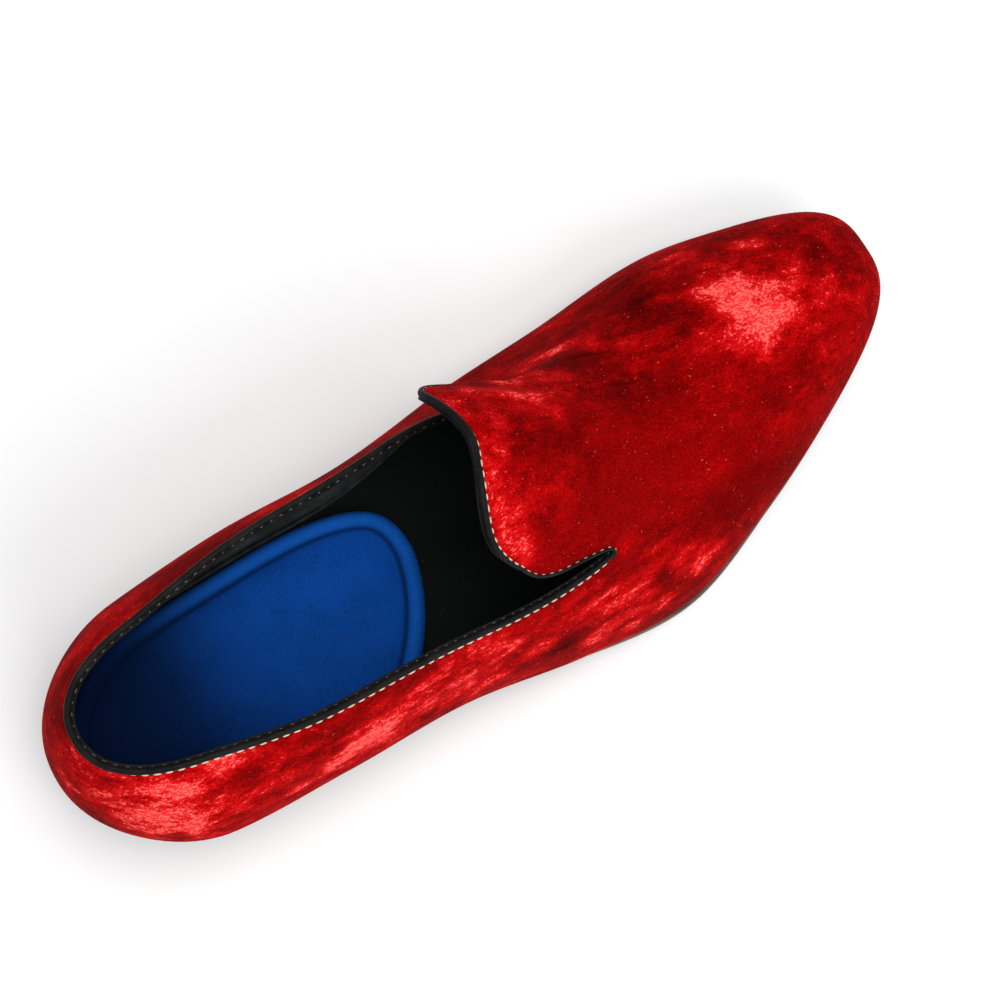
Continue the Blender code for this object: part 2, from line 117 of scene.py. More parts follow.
# Cross-sections of the last: half widths, height of the feather line and of the ridge, the
# ridge's sideways shift, and how the wall rises, swells and turns over on either side.
LAST = named((
    "x", "lateral", "medial", "seat", "crown", "ridge",
    "rise_l", "rise_m", "belly_l", "belly_m", "round_l", "round_m",
), (
    (0, 34.5, 21.0, 19.0, 85.0, 0.5, 0.36, 0.36, 0.19, 0.19, 0.77, 0.77),
    (30, 40.5, 25.5, 18.8, 81.0, 2.5, 0.35, 0.35, 0.33, 0.30, 0.60, 0.64),
    (70, 43.0, 29.0, 16.0, 89.0, -1.0, 0.35, 0.38, 0.28, 0.29, 0.57, 0.68),
    (110, 43.5, 32.0, 10.0, 92.0, 2.0, 0.35, 0.37, 0.22, 0.22, 0.53, 0.58),
    (150, 50.0, 41.5, 6.0, 82.0, 8.0, 0.45, 0.40, 0.06, 0.13, 0.48, 0.46),
    (190, 51.5, 47.5, 4.5, 57.5, 3.0, 0.51, 0.41, 0.02, 0.07, 0.48, 0.48),
    (230, 37.0, 51.0, 7.0, 49.0, 0.5, 0.52, 0.50, 0.07, 0.08, 0.53, 0.54),
    (265, 22.0, 48.0, 10.5, 41.0, -1.0, 0.52, 0.50, 0.06, 0.06, 0.53, 0.52),
    (300, 9.0, 46.0, 14.0, 34.0, -2.0, 0.52, 0.52, 0.06, 0.06, 0.53, 0.53),
))
# Height of the collar by the share of its way to the slit, and the sole's edge in plan.
COLLAR = ((0.00, 71.0), (0.25, 70.0), (0.55, 68.0), (0.85, 59.0), (1.00, 55.5))
EDGE = ((0, -1.5), (60, -1.8), (120, -2.2), (160, 0.2), (195, 1.2), (250, 1.0), (300, 0.9))
SOLE_STEPS = (16, 60, 26)

# Patches of the pile's painted sheen and shade, in the part's frame: place, half length, half
# width, how much lighter (painted sheen) or darker (painted shade) the pile is painted there and,
# if it does, how far the length turns from the shoe's axis.
PILE_SHEEN_AND_SHADE_ROWS = (
    (97, 15, 45, 15, 13, 0.95), (84, 22, 46, 9, 6, 0.35, -29), (-62, -42, 44, 55, 13, 0.40),
    (24, -44, 34, 24, 8, 0.35, -10), (-118, -34, 52, 24, 12, 0.25, -20),
    (66, -40, 36, 34, 10, -0.32, -12), (97, -5, 36, 15, 9, -0.2), (6, -26, 66, 18, 12, -0.15),
    (60, 36, 40, 34, 7, -0.3, -12), (108, 34, 36, 7, 3, 0.5, -29), (116, 22, 40, 4, 4, 0.5),
    (132, 21, 35, 2.5, 4, 0.6), (69, 30, 44, 4, 3, 0.55, -29), (124, 11, 38, 3, 3, 0.4),
    (88, -1, 46, 3, 3, 0.3), (86, 42, 33, 5, 3, 0.45, -29), (4, 27, 64, 8, 2.5, 0.6),
    (9, 17, 71, 7, 4, 0.45), (27, 19, 58, 3, 3, 0.35), (43, 27, 46, 3, 3, 0.4),
    (51, 22, 48, 4, 3, 0.35), (33, 32, 44, 9, 2.5, 0.5), (-3, 12, 83, 3, 3, 0.5),
    (15, 6, 73, 3, 3, 0.35), (-15, -22, 76, 4, 4, 0.6), (-15, -20, 79, 7, 9, 0.25),
    (-16, -3, 91, 4, 14, 0.4), (18, -30, 54, 4, 4, 0.35), (28, -35, 45, 7, 1.3, 0.6, -12),
    (42, -45, 28, 4, 5, 0.55), (49, -43, 27, 3, 4, 0.5), (27, -48, 25, 3, 3, 0.5),
    (14, -49, 21, 5, 4, 0.55), (1, -48, 26, 5, 4, 0.55), (-18, -43, 40, 5, 4, 0.55),
    (-25, -39, 50, 3, 3, 0.5), (-29, -44, 34, 4, 4, 0.5), (7, -40, 45, 6, 1.3, 0.6, -9),
    (-68, -41, 49, 8, 5, 0.55), (-90, -37, 60, 4, 3, 0.5), (-83, -42, 46, 5, 4, 0.5),
    (-49, -43, 35, 3, 3, 0.45), (-96, -43, 43, 3, 3, 0.45), (-130, -33, 54, 8, 5, 0.85, -29),
    (-139, -18, 64, 12, 10, 0.45, -29), (-122, -30, 64, 4, 3, 0.5), (-129, -26, 65, 6, 3, 0.5),
    (-111, -29, 67, 7, 4, 0.55), (-123, -38, 49, 3, 3, 0.45), (-138, -31, 45, 9, 3, 0.5, -29),
    (95, 37, 36, 5, 6, -0.4), (66, 31, 43, 6, 7, -0.4), (70, 20, 48, 7, 5, -0.35),
    (132, 10, 35, 5, 5, -0.35), (30, 26, 51, 10, 5, -0.55), (44, 7, 56, 12, 12, -0.2),
    (-9, -45, 35, 5, 4, -0.5), (27, -43, 35, 3, 5, -0.5), (-107, -36, 59, 5, 5, -0.45),
    (-136, -21, 66, 5, 3, -0.45, -29), (-133, -26, 62, 4, 3, -0.4, -29),
)

# How strongly the pile is crushed, region by region, written as the patches: this sets how far
# the pile's painted sheen and shade swing there.
CRUSH_ROWS = (
    (50, -8, 52, 40, 26, -0.55), (10, -25, 66, 30, 16, -0.5), (95, 14, 45, 30, 20, 0.25),
    (25, 22, 58, 35, 12, 0.35), (-60, -40, 48, 45, 16, 0.3), (-135, -25, 55, 25, 20, 0.35, -29),
    (10, -46, 30, 45, 12, 0.25), (78, -38, 36, 42, 14, -0.45, -14), (125, -10, 34, 16, 18, -0.25),
)

# Folds and soft dents of the upper, written as the patches: how far they rise or sink.
FOLD_ROWS = (
    (-8, 10, 86, 9, 3.5, 0.8, 60), (6, 18, 74, 16, 4.0, 0.9, -8), (-2, 4, 84, 9, 5.0, -0.9, 40),
    (30, -36, 45, 9, 2.2, -0.7, -12), (8, -41, 44, 7, 2.0, -0.6, -9),
    (18, -33, 52, 10, 3.0, 0.5, 10), (55, 12, 52, 14, 8, -0.8, 10), (82, -14, 44, 12, 9, -0.5),
    (60, -30, 38, 14, 6, -0.4, 20), (-60, -42, 42, 20, 5, -0.6), (-85, -40, 52, 14, 4, 0.4, 5),
    (-30, -42, 42, 14, 5, -0.5, -6), (-120, -33, 52, 12, 3, -0.5),
    (-138, -22, 55, 9, 3, -0.45, -29), (-60, 27, 45, 18, 6, -0.5), (-10, 36, 50, 16, 7, -0.7, 8),
    (40, 44, 34, 14, 6, -0.6),
)


def smooth(xs, ys, x):
    """Smooth curve through the points of a short table."""
    x = np.asarray(x, float)
    h = np.diff(xs)
    d = np.diff(ys) / h
    m = np.concatenate([[d[0]], (d[:-1] * h[1:] + d[1:] * h[:-1]) / (h[:-1] + h[1:]), [d[-1]]])
    i = np.clip(np.searchsorted(xs, x) - 1, 0, len(xs) - 2)
    t = np.clip((x - xs[i]) / h[i], 0, 1)
    a = 2 * t**3 - 3 * t**2 + 1
    b = t**3 - 2 * t**2 + t
    c = 3 * t**2 - 2 * t**3
    e = t**3 - t**2
    return a * ys[i] + b * h[i] * m[i] + c * ys[i + 1] + e * h[i] * m[i + 1]


def curve(pairs, x):
    return smooth(*np.transpose(pairs), x)


def broken_line(pairs, x):
    return np.interp(x, *np.transpose(pairs))


def last(name, x):
    return smooth(LAST["x"], LAST[name], x)


def ease(share):
    share = np.clip(share, 0, 1)
    return share**2 * (3 - 2 * share)


def rising(value, ends):
    """0 up to the first end, 1 from the second on, and a soft step from one to the other."""
    return ease((value - ends[0]) / (ends[1] - ends[0]))


def unit(v):
    return v / np.linalg.norm(v, axis=-1, keepdims=True)


def outline(x, side):
    """Y of the feather line: the half widths, rounded off at the heel and the toe."""
    lateral = -last("lateral", x)
    medial = last("medial", x)
    centre = (lateral + medial) / 2
    half = (medial - lateral) / 2
    heel = np.clip((HEEL_ROUND - x) / HEEL_ROUND, 0, 1)
    toe = np.clip((x - TOE_X) / TOE_ROUND, 0, 1)
    ends = (1 - heel**HEEL_POWER) ** (1 / HEEL_POWER) * (1 - toe**TOE_POWER) ** (1 / TOE_POWER)
    return centre + side * half * ends


def shortened(away, reach, kept):
    """Draws the given reach of an end in to a shorter one, smoothly from its start."""
    return kept * (1 - (1 - np.clip(away / reach, 0, 1)) ** (reach / kept))


def ridge_station(x):
    """The ridge is shorter than the outline, so the sections fan out at the toe and the heel."""
    toe_from, toe_to, toe_snap = 200.0, 260.0, 0.4
    heel_from, heel_to = 60.0, 28.0
    front = toe_from + shortened(x - toe_from, LENGTH - toe_from, toe_to - toe_from)
    front = np.where(toe_to - front < toe_snap, toe_to, front)
    back = heel_from - shortened(heel_from - x, heel_from, heel_from - heel_to)
    return np.where(x < heel_from, back, np.where(x > toe_from, front, x))


def section(x, t, side):
    """Point on the last's surface: t runs from 0 at the feather line to 1 at the ridge."""
    x, t = np.broadcast_arrays(np.asarray(x, float), np.asarray(t, float))
    suffix = "_l" if side == LATERAL else "_m"
    rise = last("rise" + suffix, x)
    belly = last("belly" + suffix, x)
    full = last("round" + suffix, x)
    seat = last("seat", x)
    rx = ridge_station(x)
    ry = (last("medial", rx) - last("lateral", rx)) / 2 + last("ridge", rx)
    rz = last("crown", rx)
    slope = (last("crown", rx + 1) - last("crown", rx - 1)) / 2
    ex = x - rx
    ey = outline(x, side) - ry
    low = np.stack([x, outline(x, side), seat], -1)
    wall = low + np.stack([ex * belly, ey * belly, rise * (rz - seat)], -1)
    top = np.stack([rx, ry, rz], -1)
    turn = top + np.stack([ex * full, ey * full, slope * ex * full], -1)
    t = t[..., None]
    return (1 - t) ** 3 * low + 3 * t * (1 - t) ** 2 * wall + 3 * t**2 * (1 - t) * turn + t**3 * top


def slopes(x, t, side, shape=section, step_x=0.4, step_t=0.004):
    """Change of place along x and t, on the last or on another shape."""
    along = (shape(x + step_x, t, side) - shape(x - step_x, t, side)) / (2 * step_x)
    across = (shape(x, t + step_t, side) - shape(x, t - step_t, side)) / (2 * step_t)
    return along, across


def outward(x, t, side):
    """Unit normal of the last's surface, pointing out of the shoe."""
    heel_end, toe_end = 2.0, 6.0
    x = np.clip(x, heel_end, LENGTH - toe_end)
    return -side * unit(np.cross(*slopes(x, np.clip(t, 0.0, 1.0), side)))


def collar_t(x, side):
    """t at which the section reaches the collar's height."""
    highest, halvings = 0.95, 40
    height = curve(COLLAR, np.asarray(x, float) / SLIT_X)
    low = np.zeros_like(np.asarray(x, float))
    high = np.full_like(low, highest)
    for _ in range(halvings):
        t = (low + high) / 2
        above = section(x, t, side)[..., 2] > height
        high = np.where(above, t, high)
        low = np.where(above, low, t)
    return (low + high) / 2


def surface(x, t, side):
    """The upper's outer face: the last, with the free lip of the tongue curling outwards.

    On the inner side the lip's edge droops and the quarter leans in beneath it.
    """
    x, t = np.broadcast_arrays(np.asarray(x, float), np.asarray(t, float))
    p = section(x, t, side)
    free = np.clip((SLIT_X - x) / (SLIT_X - TONGUE_BACK), 0, FREE_LIMIT)
    above = rising(t, RIDGE_RISE)
    on_tongue = t > collar_t(np.minimum(x, SLIT_X), side)
    curl = LIP_RIDGE * above * free**LIP_POWER
    if side == LATERAL:
        curl = curl + LIP_LATERAL * (1 - above) * free**LIP_POWER
        moved = np.zeros_like(p)
    else:
        curl = curl + LIP_MEDIAL * rising(t, LIP_RISE) * (1 - above) * free**LIP_MEDIAL_POWER
        tuck = TUCK * np.exp(-(((x - TUCK_X) / TUCK_REACH) ** 2)) * rising(t, TUCK_RISE)
        droop = np.where(on_tongue, DROOP * (1 - rising(t, DROOP_FADE)) * free**DROOP_POWER, 0)
        moved = np.stack([0 * x, -tuck * (1 - rising(t, TUCK_FADE)), -droop], -1)
    curl = np.where(on_tongue, curl, 0)
    return p + moved + curl[..., None] * outward(x, t, side) * np.array([LIP_ALONG, 1.0, 1.0])


def heel_stations(steps):
    return HEEL_ROUND * (1 - np.cos(np.arange(steps) * math.pi / 2 / steps))


def toe_stations(steps):
    return TOE_X + TOE_ROUND * np.sin(np.arange(1, steps + 1) * math.pi / 2 / steps)


def outline_stations(heel, middle, toe):
    between = np.linspace(HEEL_ROUND, TOE_X, middle + 1)
    return np.concatenate([heel_stations(heel), between, toe_stations(toe)])


def tongue_edge(turn, start_t, side):
    """The tongue runs back along the collar, turns a round corner and crosses the instep."""
    power = 2 / TONGUE_POWER
    back = np.sin(turn) ** power
    rise = 1 - np.cos(turn) ** power
    across = np.clip((rise - CROSSING_FROM) / (1 - CROSSING_FROM), 0, 1)
    scoop = TONGUE_SCOOP * ease(across) + side * TONGUE_SKEW * np.sin(math.pi * across)
    return SLIT_X - (SLIT_X - TONGUE_BACK) * back + scoop, start_t + (1 - start_t) * rise


def in_surface(direction, along, across):
    """Share of a direction along and across the surface, per millimetre."""
    aa = np.sum(along * along, -1)
    ab = np.sum(along * across, -1)
    bb = np.sum(across * across, -1)
    da = np.sum(direction * along, -1)
    db = np.sum(direction * across, -1)
    scale = aa * bb - ab * ab
    return (da * bb - db * ab) / scale, (db * aa - da * ab) / scale


def collar_edge(side, heel, quarter, notch, flank, back):
    """The collar's edge from the heel to the ridge, and the way into the material per
    millimetre, with the places of the slit's end and the tongue's corner in it."""
    step, least = 0.002, 1e-6
    x = np.concatenate([heel_stations(heel), np.linspace(HEEL_ROUND, SLIT_X, quarter + 1)])
    t = collar_t(x, side)
    pace = np.linalg.norm(slopes(x, t, side)[1], axis=-1)
    slit_pace = pace[-1]
    middle = t[-1] + NOTCH_RADIUS / slit_pace
    angle = np.radians(np.linspace(-NOTCH_ANGLE, NOTCH_ANGLE, notch))
    start_t = middle + NOTCH_RADIUS / slit_pace
    corner = 0.5 ** (1 / TONGUE_POWER)
    side_turn = np.arcsin(np.linspace(0, corner, flank + 1) ** (TONGUE_POWER / 2))
    back_turn = np.arccos(np.linspace(corner, 0, back + 1) ** (TONGUE_POWER / 2))
    turn = np.concatenate([side_turn, back_turn[1:]])
    edge_x, edge_t = tongue_edge(turn, start_t, side)
    before = tongue_edge(np.maximum(turn - step, least), start_t, side)
    after = tongue_edge(np.minimum(turn + step, math.pi / 2 - least), start_t, side)
    heading = section(*after, side) - section(*before, side)
    along, across = slopes(edge_x, edge_t, side)
    inward = unit(np.cross(heading, np.cross(along, across)))
    edge_dx, edge_dt = in_surface(inward, along, across)
    near_ridge = np.clip(1 - (1 - edge_t) / NEAR_RIDGE, 0, 1)
    edge_dx = edge_dx * (1 - near_ridge) + near_ridge
    edge_dt = edge_dt * (1 - near_ridge)
    edge_dx[0], edge_dt[0] = 0.0, 1 / slit_pace
    near_slit = ease((x - SLIT_X + NARROW_REACH) / NARROW_REACH)
    past_corner = ease((turn - side_turn[-1]) / NARROW_TURN)
    narrow = np.concatenate([
        NARROW_COLLAR + (NARROW_SLIT - NARROW_COLLAR) * near_slit,
        np.full(notch, NARROW_SLIT),
        NARROW_SLIT + (NARROW_TONGUE - NARROW_SLIT) * past_corner,
    ])
    return {
        "x": np.concatenate([x, SLIT_X + NOTCH_RADIUS * np.cos(angle), edge_x]),
        "t": np.concatenate([t, middle + NOTCH_RADIUS * np.sin(angle) / slit_pace, edge_t]),
        "dx": narrow * np.concatenate([np.zeros_like(x), np.cos(angle), edge_dx]),
        "dt": narrow * np.concatenate([-1 / pace, np.sin(angle) / slit_pace, edge_dt]),
        "slit": len(x) + notch // 2,
        "corner": len(x) + notch + flank,
    }


def to_frame(points):
    return ((points - MIDDLE) * MM).tolist()


def grid_faces(columns, rows, start, flip):
    """Quads over a grid of points numbered column by column."""
    i, j = np.meshgrid(np.arange(columns - 1), np.arange(rows - 1), indexing="ij")
    a = (start + i * rows + j).ravel()
    quads = np.stack([a, a + rows, a + rows + 1, a + 1], -1)
    return quads[:, ::-1] if flip else quads


def weld(points, quads, places):
    """Joins the points that lie on each other where patches meet, and drops empty faces."""
    cells_per_mm, cell_shift = 50, 0.137
    key = np.round(points * cells_per_mm + cell_shift).astype(np.int64)
    _, first, index = np.unique(key, axis=0, return_index=True, return_inverse=True)
    index = index.reshape(-1)
    faces = []
    for quad in index[quads]:
        face = [v for k, v in enumerate(quad) if v not in quad[:k]]
        if len(face) > 2:
            faces.append([int(v) for v in face])
    return points[first], faces, places[first]


def vertex_normals(points, faces):
    total = np.zeros_like(points)
    triangles = np.array([(f[0], f[k], f[k + 1]) for f in faces for k in range(1, len(f) - 1)])
    a, b, c = (points[triangles[:, k]] for k in range(3))
    cross = np.cross(b - a, c - a)
    for k in range(3):
        np.add.at(total, triangles[:, k], cross)
    return unit(total)


def blend_patch(bottom, top, left, right, share):
    """Points of a four-sided patch between its edge curves, given as (x, t) pairs."""
    u = np.linspace(0, 1, len(bottom))[:, None, None]
    v = share[None, :, None]
    sides = (1 - u) * left[None] + u * right[None]
    ends = (1 - v) * bottom[:, None] + v * top[:, None]
    return sides + ends - (1 - u) * ends[:1] - u * ends[-1:]


def grid_of(x, t):
    return np.stack(np.broadcast_arrays(x, t), -1)


def upper_sheet(inset, counts, parts=("quarter", "tongue", "vamp")):
    """One face of the upper, in from the collar's edge, with each point's x, t and side."""
    points, quads, places, start = [], [], [], 0
    for side in (LATERAL, MEDIAL):
        edge = collar_edge(side, *counts["edge"])
        slit, corner = edge["slit"], edge["corner"]
        x = edge["x"] + edge["dx"] * inset
        t = edge["t"] + edge["dt"] * inset
        slit_x, slit_t = x[slit], t[slit]
        low_rows = np.linspace(0, 1, counts["quarter_rows"] + 1)
        left = grid_of(x[corner:], t[corner:])
        share = (left[:, 1] - left[0, 1]) / (left[-1, 1] - left[0, 1])
        right = grid_of(slit_x, slit_t + (1 - slit_t) * share)
        bottom = grid_of(x[slit:corner + 1], t[slit:corner + 1])[::-1]
        top = grid_of(np.linspace(left[-1, 0], slit_x, len(bottom)), 1.0)
        front = np.append(np.linspace(slit_x, TOE_X, counts["vamp"]), toe_stations(counts["toe"]))
        front = front[:, None]
        share_front = (front - slit_x) / (LENGTH - slit_x)
        rows = np.append(slit_t * low_rows, right[1:, 1])
        rows = rows * (1 - share_front) + np.linspace(0, 1, len(rows)) * share_front
        grids = {
            "quarter": grid_of(x[:slit + 1, None], t[:slit + 1, None] * low_rows),
            "tongue": blend_patch(bottom, top, left, right, share),
            "vamp": grid_of(front, rows),
        }
        for part in parts:
            grid = grids[part]
            shape = surface(grid[..., 0], grid[..., 1], side)
            if part != "tongue":
                shape = np.concatenate([turned_under(grid[:, 0, 0], side), shape], 1)
                grid = np.concatenate([grid[:, :1]] * len(FOLD_UNDER) + [grid], 1)
            columns, rows = grid.shape[:2]
            sides = np.full((columns * rows, 1), side)
            points.append(shape.reshape(-1, 3))
            places.append(np.concatenate([grid.reshape(-1, 2), sides], 1))
            quads.append(grid_faces(columns, rows, start, side == MEDIAL))
            start += columns * rows
    return weld(np.concatenate(points), np.concatenate(quads), np.concatenate(places))


# The lower edge is turned in over the sole: distance in from the feather line, and down.
FOLD_UNDER = ((2.9, 0.24), (1.6, 0.24), (0.8, 0.22), (0.35, 0.16), (0.1, 0.07))


def turned_under(x, side):
    """Rows of points for the upper's lower edge where it turns in under the foot."""
    step = 0.05
    back, front = np.clip(x - step, 0, LENGTH), np.clip(x + step, 0, LENGTH)
    heading = unit(np.stack([front - back, outline(front, side) - outline(back, side)], -1))
    inward = side * np.stack([heading[:, 1], -heading[:, 0]], -1)
    rows = []
    for away, down in FOLD_UNDER:
        row = section(x, 0.0, side)
        row[:, :2] += inward * away
        row[:, 2] -= down
        rows.append(row)
    return np.stack(rows, 1)


def spots(points, normals, rows, crease=False):
    """Soft oval spots on a surface, each laid on it at its nearest point.

    A crease is narrower, and sinks a little on either side of its own ridge.
    """
    side_sink, side_reach = 0.35, 2.2
    turned_away, turned_to = 0.1, 0.6
    total = np.zeros(len(points))
    for x, y, z, long, wide, amount, *turn in rows:
        away = np.linalg.norm(points - (x, y, z), axis=1)
        centre = points[away.argmin()]
        normal = normals[away.argmin()]
        angle = math.radians(sum(turn))
        heading = (math.cos(angle), math.sin(angle), 0.0)
        along = unit(heading - normal * (normal @ heading))
        across = np.cross(normal, along)
        offset = points - centre
        a = offset @ along / long
        b = offset @ across / wide
        depth = offset @ normal / max(long, wide)
        facing = rising(normals @ normal, (turned_away, turned_to))
        if crease:
            shape = np.exp(-b**2) - side_sink * np.exp(-(b / side_reach) ** 2)
            total += amount * shape * np.exp(-a**2) * facing
        else:
            total += amount * facing / (1 + (a**2 + b**2 + depth**2) ** 2)
    return total


def add_object(name, data):
    obj = bpy.data.objects.new(name, data)
    bpy.context.scene.collection.objects.link(obj)
    return obj


def add_mesh(name, points, edges, faces):
    mesh = bpy.data.meshes.new(name)
    mesh.from_pydata(points, edges, faces)
    return add_object(name, mesh)


def finish_piece(obj, nodes):
    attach(obj, "root")
    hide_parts(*nodes)
    return obj


def new_piece(name, points, faces, material, slot, nodes, thickness=0.0):
    """A finished mesh from points in millimetres, with a thickness inwards if one is given."""
    faces = [list(map(int, face)) for face in faces]
    obj = add_mesh(name, to_frame(points), [], faces)
    obj.data.materials.append(material)
    obj.data.shade_smooth()
    if thickness:
        wall = obj.modifiers.new("wall", "SOLIDIFY")
        wall.thickness = thickness * MM
        wall.offset = -1.0
        wall.use_rim = True
    return finish_piece(obj, nodes)


def put_values(obj, name, kind, values):
    """Stores one value for each point of a piece, for its material."""
    attribute = obj.data.attributes.new(name, kind, "POINT")
    key = "vector" if kind == "FLOAT_VECTOR" else "value"
    attribute.data.foreach_set(key, np.asarray(values, np.float32).ravel())


# Materials.

PILE_LIE = (0.6, 1.0, 1.0)
RIB_PITCH = 0.62


def fill_inputs(tree, node, inputs):
    """Gives each named or numbered input its value, or a link where that is a socket."""
    for key, value in inputs.items():
        if isinstance(value, bpy.types.NodeSocket):
            tree.links.new(value, node.inputs[key])
        else:
            node.inputs[key].default_value = value
    return node


def add_node(tree, kind, inputs, **properties):
    node = tree.nodes.new(kind)
    for key, value in properties.items():
        setattr(node, key, value)
    return fill_inputs(tree, node, inputs)


def opaque(colour):
    return (*colour, 1.0) if isinstance(colour, tuple) else colour


class Finish:
    """A material's node tree, built up a node at a time."""

    def __init__(self, name, roughness, colour=(0.5, 0.5, 0.5)):
        self.material = bpy.data.materials.new(name)
        self.material.use_nodes = True
        self.tree = self.material.node_tree
        self.place = self.node("ShaderNodeTexCoord", {}, "Object")
        self.paint(Base_Color=opaque(colour), Roughness=roughness)

    def node(self, kind, inputs, output=0, **properties):
        return add_node(self.tree, kind, inputs, **properties).outputs[output]

    def stored(self, name, output="Fac"):
        return self.node("ShaderNodeAttribute", {}, output, attribute_name=name)

    def stretched(self, vector, scale, turn=(0.0, 0.0, 0.0)):
        inputs = {"Vector": vector, "Scale": scale, "Rotation": turn}
        return self.node("ShaderNodeMapping", inputs)

    def noise(self, scale, detail=2.0, rough=0.5, warp=0.0, vector=None, output="Fac"):
        inputs = {"Scale": scale, "Detail": detail, "Roughness": rough, "Distortion": warp}
        return self.node("ShaderNodeTexNoise", {**inputs, "Vector": vector or self.place}, output)

    def math(self, operation, a, b=0.0, c=0.0):
        return self.node("ShaderNodeMath", {0: a, 1: b, 2: c}, operation=operation)

    def added(self, value, middle, amount, base=0.0):
        """(value - middle) * amount + base"""
        return self.math("MULTIPLY_ADD", self.math("SUBTRACT", value, middle), amount, base)

    def between(self, value, low, high, to_low=0.0, to_high=1.0):
        inputs = {"Value": value, "From Min": low, "From Max": high}
        inputs.update({"To Min": to_low, "To Max": to_high})
        return self.node("ShaderNodeMapRange", inputs, interpolation_type="SMOOTHSTEP")

    def ramp(self, value, stops):
        node = add_node(self.tree, "ShaderNodeValToRGB", {"Fac": value})
        elements = node.color_ramp.elements
        for place, _ in stops[2:]:
            elements.new(place)
        for element, (place, _) in zip(elements, stops):
            element.position = place
        for element, (_, colour) in zip(elements, stops):
            element.color = opaque(colour)
        return node.outputs["Color"]

    def mix(self, share, a, b):
        inputs = {0: share, 6: opaque(a), 7: opaque(b)}
        return self.node("ShaderNodeMix", inputs, 2, data_type="RGBA")

    def bump(self, height, depth, strength):
        inputs = {"Height": height, "Distance": depth * MM, "Strength": strength}
        return self.node("ShaderNodeBump", inputs, "Normal")

    def paint(self, **values):
        shader = self.tree.nodes["Principled BSDF"]
        fill_inputs(self.tree, shader, {key.replace("_", " "): v for key, v in values.items()})
        return self.material


def velvet_finish():
    """Red crushed velvet: the pile lies over in ragged patches, with its sheen painted into the
    colour:
    lighter as painted sheen one way, darker as painted shade the other, with painted pink glints.
    """
    f = Finish("crushed velvet", 0.75)
    tear = 0.0055
    wobble = f.noise(260, 4, 0.65, output="Color")
    wander = {0: wobble, 1: (tear, tear, tear), 2: f.place}
    torn = f.node("ShaderNodeVectorMath", wander, operation="MULTIPLY_ADD")
    lying = f.stretched(torn, PILE_LIE)
    combed = f.stretched(torn, (0.35, 1, 1), (0, 0, 0.3))
    brushed = f.noise(420, 4, 0.6, 0, combed)
    flow = f.stretched(f.stored("heel_flow", "Vector"), (0.28, 1, 1))
    around = f.noise(0.62, 4, 0.6, 0.5, flow)
    level = f.added(f.noise(62, 4, 0.55, 0.4, lying), 0.5, 2.3)
    level = f.added(f.noise(240, 4, 0.6, 0.3, lying), 0.5, 1.2, level)
    level = f.added(f.mix(f.stored("at_heel"), brushed, around), 0.5, 1.2, level)
    # Painted sheen and shade of the pile: the noise scaled by how crushed the pile is, plus the
    # patches' stored painted light and shade.
    level = f.math("MULTIPLY_ADD", level, f.stored("crush"), f.stored("light"))
    grain = f.noise(1900, 2, 0.7, 0, f.stretched(f.place, PILE_LIE))
    tone = f.between(f.added(grain, 0.5, 1.5, level), -1.3, 1.5)
    colour = f.ramp(tone, (
        (0, (0.045, 0, 0)),
        (0.28, (0.135, 0.0002, 0.0004)),
        (0.46, (0.235, 0.0006, 0.0008)),
        (0.60, (0.36, 0.0010, 0.0014)),
        (0.76, (0.54, 0.0030, 0.0045)),
        (0.90, (0.72, 0.0120, 0.0140)),
        (1, (0.85, 0.030, 0.030)),
    ))
    # Painted glints: pink specks of painted highlight where the pile's tips catch the light,
    # thicker on the lighter patches.
    tips = f.stretched(f.place, PILE_LIE, (0, 0, 0.5))
    fibres = f.noise(1250, 3, 0.8, 0, tips)
    raised = f.between(level, 0.10, 1.05, 0, 0.20)
    glints = f.between(f.math("ADD", fibres, raised), 0.68, 0.74)
    colour = f.mix(f.math("MULTIPLY", glints, 0.85), colour, (1, 0.15, 0.13))
    linty = f.between(f.noise(90), 0.42, 0.62)
    strewn = f.stretched(f.place, (0.55, 1, 1), (0, 0, 0.9))
    hairs = f.noise(1250, 1, vector=strewn)
    lint = f.math("MULTIPLY", f.between(hairs, 0.73, 0.78), linty)
    colour = f.mix(f.math("MULTIPLY", lint, 0.55), colour, (0.95, 0.18, 0.15))
    pile = f.math("MULTIPLY_ADD", grain, 0.35, f.math("MULTIPLY", tone, 1.1))
    return f.paint(
        Base_Color=colour,
        Normal=f.bump(pile, 0.35, 0.55),
        Sheen_Weight=0.05,
        Sheen_Roughness=0.4,
        Sheen_Tint=(1, 0.05, 0.05, 1),
        Specular_IOR_Level=0.01,
    )


def leather_finish(name, colour, light_colour, roughness, shine):
    """Black leather with a fine pebbled grain, lighter on its worn high places."""
    f = Finish(name, roughness)
    pebbles = f.node("ShaderNodeTexVoronoi", {"Vector": f.place, "Scale": 1500}, "Distance")
    clouds = f.noise(180, 4, 0.6)
    shade = f.mix(f.between(clouds, 0.35, 0.7), colour, light_colour)
    height = f.math("MULTIPLY_ADD", clouds, 0.8, pebbles)
    return f.paint(Base_Color=shade, Normal=f.bump(height, 0.12, 0.7), Specular_IOR_Level=shine)


def cloth_finish(name, colour, fleck, sheen):
    """Dark woven cloth with a fine weave and a few light specks of lint."""
    f = Finish(name, 0.92)
    weave = f.noise(2600, 2, 0.6)
    lint = f.between(f.noise(900, 1, 0.4), 0.74, 0.80)
    shade = f.mix(f.between(weave, 0.3, 0.7), tuple(c * 0.6 for c in colour), colour)
    return f.paint(
        Base_Color=f.mix(lint, shade, fleck),
        Normal=f.bump(weave, 0.15, 0.6),
        Sheen_Weight=sheen,
        Specular_IOR_Level=0.15,
    )


